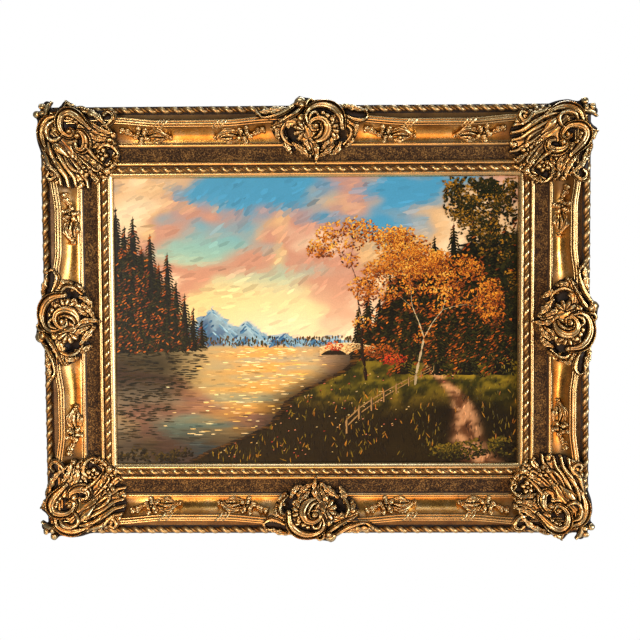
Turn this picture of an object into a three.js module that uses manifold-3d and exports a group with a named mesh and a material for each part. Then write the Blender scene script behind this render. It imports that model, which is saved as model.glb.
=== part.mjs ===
// A framed oil painting: a canvas on its stretcher in a gilded swept frame with cast rococo ornaments.
// Everything is drawn in the picture's plane (x right, y up, z towards the room, the wall at z = 0)
// and turned upright at the end. Lengths are in millimetres.
import * as THREE from 'three';
import { ConvexHull } from 'three/addons/math/ConvexHull.js';
import { mergeVertices } from 'three/addons/utils/BufferGeometryUtils.js';
import Module from 'manifold-3d';

const wasm = await Module();
wasm.setup();

// ---- driving dimensions -------------------------------------------------------------------------
const SIGHT_W = 690;            // the opening that shows the picture
const SIGHT_H = 490;
const RAIL = 120;               // width of the moulding, from its outer edge to the sight edge
const LIP = 6;                  // how far the sight edge laps over the canvas
const LEDGE = 17.5;             // height of the rabbet's ledge above the wall
const GAP = 0.3;                // play between pieces that touch
const OUTER_W = SIGHT_W + 2 * RAIL;
const OUTER_H = SIGHT_H + 2 * RAIL;
const RABBET = RAIL - LIP;      // distance from the outer edge to the rabbet's wall
const MOUNT_Y = OUTER_H / 2 - RABBET / 2;

const ROPE = { from: 0.6, to: 12.4, bed: 33, low: 36.5, high: 41, pitch: 22 };
const CORD = { from: 101.4, to: 110.4, bed: 25, low: 27.6, high: 31, pitch: 20 };
const SWEEP = { depth: 6, fromCentre: 70, fromCorner: 120 };  // bow of the reeded rail in each span

const CANVAS = { w: 700, h: 500, thick: 1, wrap: 12 };
const BAR = { wide: 42, deep: 14, bevel: 2.5 };
const POINT = { long: 11, wide: 8, thick: 1, lift: 0.5, apart: 220 };
const HANGER = { long: 46, high: 9, thick: 1.1, lift: 0.2, apart: 420, tooth: 5, teeth: 5 };
const SEAT = { long: 48, high: 11, deep: 1.6 };
const POCKET = { long: 30, high: 16, deep: 6.5 };

// ---- materials ----------------------------------------------------------------------------------
const GILT = new THREE.MeshStandardMaterial({ color: '#b07a2a', roughness: 0.38, metalness: 0.85 });
const LINEN = new THREE.MeshStandardMaterial({ color: '#8a6f3c', roughness: 0.5, metalness: 0 });
const PINE = new THREE.MeshStandardMaterial({ color: '#c79f68', roughness: 0.7, metalness: 0 });
const STEEL = new THREE.MeshStandardMaterial({ color: '#8d8f92', roughness: 0.4, metalness: 0.9 });

// ---- solids -------------------------------------------------------------------------------------
const solidOf = (positions, triangles) => new wasm.Manifold(new wasm.Mesh({
  numProp: 3, vertProperties: new Float32Array(positions), triVerts: new Uint32Array(triangles),
}));

function signedVolume(points, triangles) {
  const corner = triangles.map((i) => new THREE.Vector3(...points[i]));
  let sum = 0;
  for (let i = 0; i < corner.length; i += 3) sum += corner[i].dot(corner[i + 1].clone().cross(corner[i + 2]));
  return sum;
}

// A closed surface as a solid, with its faces turned to point out.
function closedSolid(points, triangles) {
  const outward = signedVolume(points, triangles) > 0;
  return solidOf(points.flat(), outward ? triangles : [...triangles].reverse());
}

function fromGeometry(geometry) {
  const bare = geometry.clone();
  ['normal', 'uv'].forEach((name) => bare.deleteAttribute(name));
  const merged = mergeVertices(bare, 1e-4);
  return solidOf(merged.attributes.position.array, merged.index.array);
}

function toGeometry(solid) {
  const mesh = solid.getMesh();
  const geometry = new THREE.BufferGeometry();
  geometry.setAttribute('position', new THREE.BufferAttribute(new Float32Array(mesh.vertProperties), 3));
  geometry.setIndex(new THREE.BufferAttribute(new Uint32Array(mesh.triVerts), 1));
  return geometry;
}

const without = (solid, cutters) => cutters.reduce((rest, next) => rest.subtract(next), solid);
const largest = (solid) => solid.decompose().sort((a, b) => b.volume() - a.volume())[0];
const box = (w, h, d, x, y, z) => fromGeometry(new THREE.BoxGeometry(w, h, d).translate(x, y, z));

function prism(outline, from, to) {
  const shape = new THREE.Shape(outline.map(([x, y]) => new THREE.Vector2(x, y)));
  const settings = { depth: to - from, bevelEnabled: false };
  return fromGeometry(new THREE.ExtrudeGeometry(shape, settings).translate(0, 0, from));
}

// The value at u on a line through [u, value] points, level beyond its ends.
function along(line, u) {
  const next = line.findIndex(([x]) => x > u);
  if (next === 0) return line[0][1];
  if (next < 0) return line[line.length - 1][1];
  const [[x0, v0], [x1, v1]] = [line[next - 1], line[next]];
  return THREE.MathUtils.mapLinear(u, x0, x1, v0, v1);
}

// ---- mouldings ----------------------------------------------------------------------------------
// A moulding is drawn for one side of the frame: x runs along the side from its middle, u is the
// distance in from the outer edge, so y = -u, and z is the height above the wall. Rows of points run
// along it, listed round its profile, and both ends are mitred.
const plain = (u, z) => ({ u, z });
const swept = (u, z, share = 1) => ({ u, z, share });

// The twisted rope's outer foot, its crest of highs and lows, and its inner foot.
const ropeRows = ({ from, to, bed, low, high, pitch }) => [
  { u: from, z: [bed, bed], step: pitch, shift: -0.3 * pitch },
  { u: (from + to) / 2, z: [low, high], step: pitch / 2, shift: 0 },
  { u: to, z: [bed, bed], step: pitch, shift: 0.3 * pitch },
];

// How far the reeded rail bows in towards the picture, between the centre and corner ornaments.
function bow(x, half) {
  const span = half - SWEEP.fromCentre - SWEEP.fromCorner;
  const s = THREE.MathUtils.clamp((Math.abs(x) - SWEEP.fromCentre) / span, 0, 1);
  return SWEEP.depth * Math.sin(Math.PI * s) ** 2;
}

function ropePoints({ u, z, step, shift }, end) {
  const reach = end - 0.3 * step;
  const [first, last] = [-1, 1].map((side) => Math.trunc((side * reach - shift) / step));
  const numbers = Array.from({ length: last - first + 1 }, (_, i) => first + i);
  return numbers.map((k) => [k * step + shift, -u, z[Math.abs(k % 2)]]);
}

function sweptPoints(row, half) {
  const span = half - SWEEP.fromCentre - SWEEP.fromCorner;
  const right = [0, 0.25, 0.5, 0.75, 1].map((s) => SWEEP.fromCentre + s * span);
  const stations = [...right.map((x) => -x).reverse(), ...right];
  return stations.map((x) => [x, -row.u - row.share * bow(x, half), row.z]);
}

function rowPoints(row, half, play) {
  const end = half - row.u - play;
  const level = Array.isArray(row.z) ? row.z[0] : row.z;
  const ends = [-1, 1].map((side) => [side * end, -row.u, level]);
  if (row.step) return [ends[0], ...ropePoints(row, end), ends[1]];
  if (row.share) return [ends[0], ...sweptPoints(row, half), ends[1]];
  return ends;
}

// Triangles between two rows of points, always stepping to whichever next point comes first.
function stitched(points, a, b) {
  const triangles = [];
  for (let [i, j] = [0, 0]; i + 1 < a.length || j + 1 < b.length;) {
    const [nextA, nextB] = [a[i + 1], b[j + 1]].map((k) => (k === undefined ? Infinity : points[k][0]));
    if (nextA <= nextB) {
      triangles.push(a[i], a[i + 1], b[j]);
      i += 1;
    } else {
      triangles.push(a[i], b[j + 1], b[j]);
      j += 1;
    }
  }
  return triangles;
}

// The flat end of a bar; sorted corners keep every triangle turned the same way.
function endCap(points, ends, order) {
  const outline = ends.map((i) => new THREE.Vector2(points[i][1], points[i][2]));
  return THREE.ShapeUtils.triangulateShape(outline, [])
    .flatMap((t) => [...t].sort((a, b) => order * (a - b)).map((k) => ends[k]));
}

function mouldingBar(rows, length, play = GAP * Math.SQRT1_2) {
  const points = [];
  const lines = rows.map((row) => rowPoints(row, length / 2, play).map((p) => points.push(p) - 1));
  const sides = lines.flatMap((line, k) => stitched(points, line, lines[(k + 1) % lines.length]));
  const left = endCap(points, lines.map((line) => line[0]), 1);
  const right = endCap(points, lines.map((line) => line[line.length - 1]), -1);
  return closedSolid(points, [...sides, ...left, ...right]);
}

// The gilded moulding, from its outer side over the rope, reeded rail, cove, panel, bead and cord to
// the sight edge, then back under the lip and down the rabbet.
const PROFILE = [
  plain(0, 0), plain(0, 31.5),
  ...ropeRows(ROPE),
  plain(13.2, 31.8),
  swept(18.6, 32), swept(20.6, 46), swept(24, 50), swept(28.9, 46), swept(34, 42),
  swept(39, 33.5, 0.8), swept(48, 28, 0.3), plain(62, 26.2),
  plain(63.5, 29), plain(66.6, 29), plain(70, 25), plain(92.3, 25),
  plain(93.6, 28.6), plain(96, 29.8), plain(98.4, 28.4), plain(99.6, 24.2), plain(101, 24.2),
  ...ropeRows(CORD),
  plain(111, 26.4), plain(113.4, 28), plain(117, 26), plain(RAIL, 21.6),
  plain(RAIL, LEDGE), plain(RABBET, LEDGE), plain(RABBET, 0),
];

// The space that the big ornaments keep clear of: the moulding with its ropes and reeds filled out.
const KEEP_OUT = [
  [-GAP, -5], [-GAP, 41.3], [18.2, 41.3], [18.6, 50.4], [28.2, 50.4], [36, 43.8], [45, 30.4],
  [69.2, 29.4], [70.6, 25.4], [92, 25.4], [93, 31.4], [121, 31.4], [121, -5],
].map(([u, z]) => plain(u, z));

// The space that a spray in the cove keeps clear of.
const COVE_KEEP_OUT = [
  plain(20, -5), plain(20, 51), swept(29.6, 51), swept(34.4, 43.2), swept(39.4, 34, 0.8),
  swept(48.3, 28.4, 0.3), plain(61.8, 26.6), plain(63, 29.4), plain(67, 29.4), plain(71, 25.4),
  plain(90, 25.4), plain(90, -5),
];

// ---- carving ------------------------------------------------------------------------------------
// A casting is carved as a net of points: its outline, the crests and feet of its strokes and the
// floors of its hollows. Strokes stand on a ground whose height depends on u, the distance from the
// nearest outer edge of the frame.
const GROUND = [[-14, 41], [0, 46], [18, 54], [36, 52], [60, 40], [78, 33.5], [140, 33.5]];
const CAST_NET = { crest: 9.6, foot: 18, edge: 21, clear: 4, rim: 1.5 };   // spacing of a net's points
const TIP = 0.35;               // size of a stroke's tips, as a share of its middle
const CAST_BOTTOM = 20;
const OVERHANG = 36;            // underside of what stands out beyond the frame's outer edge

const curveOf = ({ path }) => new THREE.CatmullRomCurve3(path.map(([x, u]) => new THREE.Vector3(x, -u, 0)));
const taper = (s) => Math.min(1, 5 * s + TIP, 5 * (1 - s) + TIP);
const apart = (a, b) => Math.hypot(a[0] - b[0], a[1] - b[1]);

function spaced(curve, distance) {
  const count = Math.max(1, Math.round(curve.getLength() / distance));
  return Array.from({ length: count + 1 }, (_, i) => i / count);
}

const crestPoints = (ground, spec, curve, gap) => spaced(curve, gap).map((s) => {
  const { x, y } = curve.getPointAt(s);
  return [x, y, ground(x, y) + spec.rise * taper(s)];
});

const footPoints = (ground, spec, curve, gap) => spaced(curve, gap).flatMap((s) => {
  const [at, ahead] = [curve.getPointAt(s), curve.getTangentAt(s)];
  return [-1, 1].map((side) => {
    const reach = (side * spec.wide * taper(s)) / 2;
    const [x, y] = [at.x - ahead.y * reach, at.y + ahead.x * reach];
    return [x, y, ground(x, y)];
  });
});

function hollowPoints({ x, u, radius, floor }) {
  const ring = Array.from({ length: 5 }, (_, i) => (i * 2 * Math.PI) / 5);
  const edge = ring.map((a) => [x + radius * Math.cos(a), -u + radius * Math.sin(a), floor + 2]);
  return [[x, -u, floor], ...edge];
}

// An outline's corners with its long edges divided, at the height of the ground.
function rimPoints(ground, outline, mesh) {
  const ring = outline.map(([x, u]) => [x, -u]);
  return ring.flatMap((a, i) => {
    const b = ring[(i + 1) % ring.length];
    const parts = Math.ceil(apart(a, b) / mesh.edge);
    return Array.from({ length: parts }, (_, k) => {
      const [x, y] = [0, 1].map((n) => a[n] + ((b[n] - a[n]) * k) / parts);
      return [x, y, ground(x, y) - mesh.rim];
    });
  });
}

function inside(ring, x, y) {
  const crossings = ring.filter(([ax, ay], i) => {
    const [bx, by] = ring[(i + 1) % ring.length];
    return (ay > y) !== (by > y) && x < ((bx - ax) * (y - ay)) / (by - ay) + ax;
  });
  return crossings.length % 2 === 1;
}

// A flat net over the points: the underside of the hull of the points lifted onto a round bowl.
function net(points) {
  const lifted = points.map(([x, y]) => new THREE.Vector3(x, y, (x * x + y * y) / 100));
  const number = new Map(lifted.map((point, i) => [point, i]));
  return new ConvexHull().setFromPoints(lifted).faces.filter((face) => face.normal.z < 0)
    .map(({ edge }) => [edge.prev, edge, edge.next].map((e) => number.get(e.head().point)));
}

// The solid between the net's points and a level bottom.
function reliefSolid(points, triangles, bottom) {
  const count = points.length;
  const edges = triangles.flatMap(([a, b, c]) => [[a, b], [b, c], [c, a]]);
  const used = new Set(edges.map(([a, b]) => `${a} ${b}`));
  const walls = edges.filter(([a, b]) => !used.has(`${b} ${a}`))
    .flatMap(([a, b]) => [b, a, a + count, b, a + count, b + count]);
  const under = triangles.flatMap(([a, b, c]) => [c + count, b + count, a + count]);
  const both = [...points, ...points.map(([x, y]) => [x, y, bottom])];
  return closedSolid(both, [...triangles.flat(), ...under, ...walls]);
}

function relief({ outline, strokes, hollows, holes = [] }, ground, mesh = CAST_NET) {
  const rims = [outline, ...holes].map((ring) => rimPoints(ground, ring, mesh));
  const curves = strokes.map(curveOf);
  const traces = curves.map((curve) => curve.getSpacedPoints(40).map(({ x, y }) => [x, y]));
  const free = (point, own) => traces.every((trace, i) => i === own
    || trace.every((on) => apart(on, point) > strokes[i].wide * 0.5));
  const wanted = [
    ...strokes.flatMap((spec, i) => crestPoints(ground, spec, curves[i], mesh.crest)),
    ...hollows.flatMap(hollowPoints).filter((point) => free(point)),
    ...strokes.flatMap((spec, i) => footPoints(ground, spec, curves[i], mesh.foot)
      .filter((point) => free(point, i))),
  ];
  const within = ([x, y]) => inside(rims[0], x, y) && !rims.slice(1).some((ring) => inside(ring, x, y));
  const points = rims.flat();
  wanted.filter(within).forEach((point) => {
    if (points.every((other) => apart(other, point) > mesh.clear)) points.push(point);
  });
  const middle = (triangle, k) => triangle.reduce((sum, i) => sum + points[i][k] / 3, 0);
  const kept = net(points).filter((triangle) => within([middle(triangle, 0), middle(triangle, 1)]));
  return reliefSolid(points, kept, CAST_BOTTOM);
}

// ---- corner ornament ----------------------------------------------------------------------------
// Drawn for the top left corner: [x, u] is measured from the frame's outer corner, x to the right
// along the top edge and u down along the left edge.
const CORNER_OUTLINE = [
  [-10, 14], [-5, 7], [3, 6], [6, -4], [12, -10], [19, -8], [21, 2], [29, 4], [37, -2], [43, -10],
  [51, -8], [60, -1], [76, 1], [96, 6], [118, 9], [128, 17], [127, 28], [119, 36], [128, 45],
  [126, 56], [131, 63], [129, 70], [135, 79], [134, 91], [127, 100], [117, 106], [114, 116],
  [104, 114], [99, 127], [91, 129], [86, 122], [82, 138], [75, 137], [68, 124], [62, 132],
  [50, 137], [38, 133], [33, 120], [22, 127], [11, 121], [13, 108], [7, 94], [2, 76], [-4, 58],
  [-6, 40], [-3, 24],
];
const CORNER_STROKES = [
  // the great scroll, wound in to its eye
  { path: [[82, 42], [80, 26], [68, 11], [53, 7], [39, 14], [34, 28], [37, 43], [47, 50], [56, 45],
    [53, 37], [47, 40]], wide: 9, rise: 14 },
  // the scroll below it, which opens to the left
  { path: [[57, 46], [66, 41], [76, 46], [82, 59], [79, 72], [68, 79], [57, 74], [53, 66], [61, 61]],
    wide: 9, rise: 13 },
  // the long scroll on the outer edge and its return under the hollow
  { path: [[27, 17], [14, 16], [5, 26], [2, 42], [6, 58], [14, 73], [22, 86]], wide: 10, rise: 12 },
  { path: [[13, 50], [24, 55], [37, 49]], wide: 8, rise: 8 },
  // leaves that sweep down the left side
  { path: [[18, 60], [27, 67], [42, 76]], wide: 11, rise: 7 },
  { path: [[16, 72], [27, 89], [38, 108], [47, 132]], wide: 17, rise: 11 },
  { path: [[33, 76], [45, 93], [56, 111], [60, 131]], wide: 13, rise: 10 },
  { path: [[25, 98], [31, 109], [26, 121], [16, 121], [14, 113]], wide: 8, rise: 6 },
  // the leaf along the top edge, with a scooped end
  { path: [[34, 3], [43, -8], [56, -2]], wide: 10, rise: 6 },
  { path: [[56, 3], [86, 7], [118, 13], [126, 22], [118, 31], [109, 28]], wide: 8, rise: 7 },
  { path: [[66, 12], [88, 25], [108, 33]], wide: 9, rise: 6 },
  { path: [[84, 27], [104, 41], [126, 49]], wide: 8, rise: 6 },
  // the finger that curls over the outer corner
  { path: [[22, 13], [12, 3], [9, -6], [17, -6]], wide: 10, rise: 7 },
  { path: [[10, 15], [-7, 14]], wide: 9, rise: 4 },
  // the shell and leaves at the inner corner
  { path: [[104, 77], [117, 71], [130, 79], [130, 94], [116, 103]], wide: 10, rise: 6 },
  { path: [[82, 76], [98, 92], [113, 108]], wide: 8, rise: 7 },
  { path: [[88, 100], [95, 127]], wide: 12, rise: 6 },
  { path: [[68, 104], [79, 136]], wide: 12, rise: 7 },
  { path: [[90, 66], [108, 57], [126, 62]], wide: 10, rise: 7 },
];
const CORNER_HOLLOWS = [{ x: 57, u: 29, radius: 11, floor: 52.5 }, { x: 20, u: 35, radius: 7, floor: 52 }];

// ---- centre ornament ----------------------------------------------------------------------------
// Drawn for the top side: [x, u] has x from the middle of the side and u down from the outer edge.
const CENTRE_OUTLINE = [
  [-33, -6], [-26, -15], [-17, -13], [-9, -12], [4, -9], [20, -7], [33, -1], [43, 6], [56, 6],
  [68, 11], [82, 8], [90, 17], [86, 29], [74, 34], [73, 46], [69, 56], [60, 62], [58, 71], [47, 71],
  [43, 80], [33, 84], [23, 80], [12, 87], [6, 88], [2, 97], [-3, 88], [-12, 85], [-23, 80],
  [-32, 74], [-38, 82], [-46, 76], [-52, 65], [-62, 59], [-69, 50], [-73, 38], [-69, 30],
  [-80, 25], [-94, 22], [-98, 13], [-86, 7], [-70, 8], [-52, 2], [-40, 2],
];
const CENTRE_HOLES = [
  [[-48, 41], [-40, 37], [-30, 37], [-33, 46], [-29, 53], [-34, 59], [-42, 58]],
  [[42, 39], [51, 39], [57, 46], [54, 54], [44, 61], [36, 59], [40, 50]],
];
const CENTRE_STROKES = [
  // the rising scroll on the left and the leaf behind it
  { path: [[-68, 33], [-48, 23], [-28, 12], [-17, 3], [-18, -7], [-27, -8], [-29, 0], [-23, 0]],
    wide: 9, rise: 13 },
  { path: [[-97, 14], [-84, 20], [-68, 13], [-50, 7], [-35, 3]], wide: 9, rise: 5 },
  // the arch, with a small curl inside its left foot
  { path: [[-8, 27], [-12, 15], [-4, 4], [10, 0], [27, 3], [40, 15], [46, 36]], wide: 10, rise: 14 },
  { path: [[-7, 24], [-2, 14], [5, 17]], wide: 7, rise: 7 },
  { path: [[-13, -7], [4, -5], [24, -4]], wide: 8, rise: 4 },
  // the tail on the right, which ends in a curl
  { path: [[46, 12], [58, 21], [74, 28], [85, 22], [80, 13]], wide: 8, rise: 7 },
  { path: [[46, 5], [64, 10], [80, 12]], wide: 7, rise: 5 },
  // the spiral at the heart of the shell
  { path: [[6, 60], [17, 51], [21, 39], [14, 28], [3, 28], [-2, 37], [4, 44], [9, 39]],
    wide: 9, rise: 13 },
  // flutes of the shell
  { path: [[-7, 38], [-29, 30]], wide: 9, rise: 5 },
  { path: [[-8, 50], [-27, 56]], wide: 9, rise: 5 },
  { path: [[24, 32], [37, 29]], wide: 9, rise: 5 },
  { path: [[24, 50], [33, 58]], wide: 9, rise: 5 },
  // the frames of the two piercings
  { path: [[-50, 35], [-53, 50], [-46, 64], [-36, 70]], wide: 8, rise: 5 },
  { path: [[50, 34], [62, 43], [60, 56], [48, 67]], wide: 8, rise: 5 },
  // the stem and the leaves of the lower edge
  { path: [[0, 60], [7, 74], [2, 95]], wide: 11, rise: 7 },
  { path: [[-47, 66], [-40, 78]], wide: 11, rise: 5 },
  { path: [[-30, 66], [-4, 84]], wide: 11, rise: 6 },
  { path: [[10, 82], [36, 79]], wide: 11, rise: 6 },
];
const CENTRE_HOLLOWS = [{ x: 20, u: 19, radius: 9, floor: 52 }];

const BAR_REACH = 600;          // length of the bars that are cut away under an ornament
const SIDE_BAR = mouldingBar(KEEP_OUT, BAR_REACH, -0.05);
const CORNER_BARS = [
  SIDE_BAR.translate([BAR_REACH / 2, 0, 0]),
  SIDE_BAR.rotate([0, 0, 90]).translate([0, -BAR_REACH / 2, 0]),
];
const OUTSIDE = box(BAR_REACH, 100, 2 * OVERHANG, 0, 50, 0);

const cornerCasting = () => largest(without(
  relief({ outline: CORNER_OUTLINE, strokes: CORNER_STROKES, hollows: CORNER_HOLLOWS },
    (x, y) => along(GROUND, Math.min(x, -y))),
  [OUTSIDE, OUTSIDE.rotate([0, 0, 90]), ...CORNER_BARS],
));

const centreCasting = () => largest(without(
  relief({ outline: CENTRE_OUTLINE, strokes: CENTRE_STROKES, hollows: CENTRE_HOLLOWS, holes: CENTRE_HOLES },
    (x, y) => along(GROUND, -y)),
  [OUTSIDE, SIDE_BAR],
));

// ---- sprays -------------------------------------------------------------------------------------
// A flower, its leaves and its stem lie in the cove. [x, u] has x from the flower towards the leaf's
// tip and u from the frame's outer edge.
const SPRAY_OUTLINE = [
  [13, 46], [24, 40], [37, 42], [50, 51], [38, 58], [13, 56], [6, 63], [-3, 61],
  [-7, 53], [-36, 47], [-35, 38], [-17, 42], [-11, 36], [-3, 37], [2, 41], [8, 36], [15, 39],
];
const SPRAY_STROKES = [
  { path: [[10, 50], [28, 53], [48, 51]], wide: 12, rise: 6 },
  { path: [[0, 48], [-9, 40]], wide: 11, rise: 6 },
  { path: [[2, 47], [11, 40]], wide: 11, rise: 6 },
  { path: [[1, 50], [2, 61]], wide: 11, rise: 6 },
  { path: [[-12, 48], [-34, 42]], wide: 9, rise: 5 },
];
const COVE_GROUND = [[30, 50], [36, 45.5], [42, 38], [50, 33], [64, 32]];
const SPRAY_NET = { crest: 15, foot: 60, edge: 28, clear: 4.5, rim: 2 };
const SPRAY_AT = { start: 172, end: 180, centre: 119 };   // from a corner, or from a side's middle

// The spray at x on a side of the given length, with its leaf pointing towards +x or -x.
function spray(x, towards, length) {
  const place = (path) => path.map(([a, u]) => [x + towards * a, u]);
  const strokes = SPRAY_STROKES.map((spec) => ({ ...spec, path: place(spec.path) }));
  const drawing = { outline: place(SPRAY_OUTLINE), strokes, hollows: [] };
  const whole = relief(drawing, (_, y) => along(COVE_GROUND, -y), SPRAY_NET);
  return largest(whole.subtract(mouldingBar(COVE_KEEP_OUT, length, 0)));
}

// ---- canvas, stretcher and fixings --------------------------------------------------------------
const CANVAS_FACE = LEDGE - GAP;
const STRETCHER = {
  w: CANVAS.w - 2 * (CANVAS.thick + GAP), h: CANVAS.h - 2 * (CANVAS.thick + GAP),
  front: CANVAS_FACE - CANVAS.thick - GAP,
};

// The canvas is a shallow tray: its face, and the edges folded back over the stretcher.
function canvasSolid() {
  const deep = CANVAS.thick + CANVAS.wrap;
  const block = box(CANVAS.w, CANVAS.h, deep, 0, 0, CANVAS_FACE - deep / 2);
  const room = box(CANVAS.w - 2 * CANVAS.thick, CANVAS.h - 2 * CANVAS.thick, 2 * CANVAS.wrap,
    0, 0, CANVAS_FACE - CANVAS.thick - CANVAS.wrap);
  return block.subtract(room);
}

// A stretcher bar touches the canvas only along its outer edge: its front slopes away inwards.
function stretcherBar(length) {
  const { front } = STRETCHER;
  const back = front - BAR.deep;
  return mouldingBar([plain(0, back), plain(0, front), plain(4, front),
    plain(BAR.wide, front - BAR.bevel), plain(BAR.wide, back)], length);
}

// A flat steel point, pushed up against the rabbet's wall behind the stretcher.
function framersPoint() {
  const { long, wide, thick, lift } = POINT;
  const outline = [[-wide / 2, 0], [-wide / 2, -long + 3], [-wide / 5, -long], [wide / 5, -long],
    [wide / 2, -long + 3], [wide / 2, 0]];
  return prism(outline, lift, lift + thick).translate([0, -GAP, 0]);
}

// A sawtooth hanger: a plate with a row of teeth in the upper edge of its slot, so a nail can't slip.
function sawtoothHanger() {
  const { long, high, thick, lift, tooth, teeth } = HANGER;
  const row = Array.from({ length: 2 * teeth + 1 }, (_, i) => [
    (i / 2 - teeth / 2) * tooth, i % 2 ? -high / 2 + tooth / 2 : -high / 2,
  ]);
  const [x, y] = [long / 2, high / 2];
  return prism([[-x, y], [-x, -y], ...row, [x, -y], [x, y]], lift, lift + thick);
}

const hangerSeats = () => [-1, 1].flatMap((side) => [[SEAT, 0], [POCKET, -3]].map(([cut, y]) => box(
  cut.long, cut.high, 2 * cut.deep, (side * HANGER.apart) / 2, MOUNT_Y - OUTER_H / 2 + y, 0,
)));

// ---- the whole ----------------------------------------------------------------------------------
const picture = new THREE.Group();

function add(name, solid, material, group = picture) {
  const mesh = new THREE.Mesh(toGeometry(solid), material);
  mesh.name = name;
  group.add(mesh);
  return mesh;
}

// The four sides of a rectangle, clockwise from the top: each is drawn as a top side and turned.
const sidesOf = (w, h) => [['top', 0, h / 2], ['right', w / 2, 0], ['bottom', 0, -h / 2], ['left', -w / 2, 0]]
  .map(([name, x, y], i) => {
    const group = new THREE.Group();
    group.rotation.z = (-i * Math.PI) / 2;
    group.position.set(x, y, 0);
    picture.add(group);
    return { name, group, length: i % 2 ? h : w };
  });

const railNames = { top: 'rail_top', right: 'stile_right', bottom: 'rail_bottom', left: 'stile_left' };
const cornerNames = {
  top: 'corner_top_left',
  right: 'corner_top_right',
  bottom: 'corner_bottom_right',
  left: 'corner_bottom_left',
};
const corner = cornerCasting();
const centre = centreCasting();

sidesOf(OUTER_W, OUTER_H).forEach(({ name, group, length }) => {
  const rail = mouldingBar(PROFILE, length);
  add(railNames[name], name === 'top' ? without(rail, hangerSeats()) : rail, GILT, group);
  add(cornerNames[name], corner.translate([-length / 2, 0, 0]), GILT, group);
  add(`centre_${name}`, centre, GILT, group);
  const places = [['start', -(length / 2 - SPRAY_AT.start), 1], ['end', length / 2 - SPRAY_AT.end, -1]];
  if (length === OUTER_W) {
    places.push(['before_centre', -SPRAY_AT.centre, -1], ['after_centre', SPRAY_AT.centre, 1]);
  }
  places.forEach(([where, x, towards]) => {
    add(`spray_${name}_${where}`, spray(x, towards, length), GILT, group);
  });
});

add('canvas', canvasSolid(), LINEN);
sidesOf(STRETCHER.w, STRETCHER.h).forEach(({ name, group, length }) => {
  add(`stretcher_${name}`, stretcherBar(length), PINE, group);
});

sidesOf(OUTER_W - 2 * RABBET, OUTER_H - 2 * RABBET).forEach(({ name, group, length }) => {
  const count = Math.floor(length / POINT.apart);
  for (let i = 0; i < count; i += 1) {
    const x = (i - (count - 1) / 2) * POINT.apart;
    add(`point_${name}_${i + 1}`, framersPoint().translate([x, 0, 0]), STEEL, group);
  }
});

[['left', -1], ['right', 1]].forEach(([name, side]) => {
  add(`hanger_${name}`, sawtoothHanger().translate([(side * HANGER.apart) / 2, MOUNT_Y, 0]), STEEL);
});

picture.position.z = -MOUNT_Y;
picture.rotation.x = Math.PI / 2;
const painting = new THREE.Group();
painting.add(picture);
export default painting;
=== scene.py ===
"""The looks of a framed oil painting: a gilded swept frame, its castings, and the painted canvas.

The ornament is drawn in millimetres in the plane of one side of the frame: x runs clockwise along
the side, y = -u where u is the distance in from the frame's outer edge, and h is the height above
the wall. Side.place turns a drawing onto its side of the frame and into metres.
"""
import logging
import math
from dataclasses import dataclass
from enum import Enum

import bpy
import numpy as np
from bpy.types import Material, Mesh, Node, NodeSocket, NodeTree, Object
from mathutils import Matrix, Vector


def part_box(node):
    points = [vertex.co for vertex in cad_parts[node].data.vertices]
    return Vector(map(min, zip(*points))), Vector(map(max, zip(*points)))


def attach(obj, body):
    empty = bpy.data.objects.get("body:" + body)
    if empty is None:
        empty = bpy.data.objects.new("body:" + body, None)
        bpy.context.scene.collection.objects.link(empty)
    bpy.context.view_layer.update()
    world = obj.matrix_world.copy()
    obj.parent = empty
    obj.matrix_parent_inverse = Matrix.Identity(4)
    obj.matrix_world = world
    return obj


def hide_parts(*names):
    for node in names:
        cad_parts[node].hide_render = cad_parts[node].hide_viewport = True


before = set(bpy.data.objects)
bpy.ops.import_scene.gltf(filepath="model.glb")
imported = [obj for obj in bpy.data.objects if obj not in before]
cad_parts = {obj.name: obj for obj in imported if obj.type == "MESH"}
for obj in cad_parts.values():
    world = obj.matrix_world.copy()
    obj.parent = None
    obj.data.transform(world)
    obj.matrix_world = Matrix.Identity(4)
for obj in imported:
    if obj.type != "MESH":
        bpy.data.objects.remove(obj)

log = logging.getLogger("framed_painting")
Array = np.ndarray
MM = 0.001
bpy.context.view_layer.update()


# ---- sizes and places ----
def node_box(node: str) -> tuple[Array, Array]:
    """Lowest and highest corners of a CAD node, in millimetres."""
    low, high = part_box(node)
    return np.array(low) / MM, np.array(high) / MM


@dataclass(frozen=True)
class FrameSizes:
    """The frame's driving sizes in millimetres.

    Attributes:
        width: outer width over the rope edge.
        height: outer height over the rope edge.
        middle: height of the frame's centre above the origin.
        face: distance of the canvas's painted face from the wall.
    """

    width: float
    height: float
    middle: float
    face: float

    @classmethod
    def from_cad(cls) -> "FrameSizes":
        """Read the sizes from the boxes of the rails and the canvas."""
        top, bottom = node_box("rail_top"), node_box("rail_bottom")
        width = top[1][0] - top[0][0]
        height = top[1][2] - bottom[0][2]
        middle = (top[1][2] + bottom[0][2]) / 2
        return cls(width, height, middle, -node_box("canvas")[0][1])


SIZES = FrameSizes.from_cad()


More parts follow.
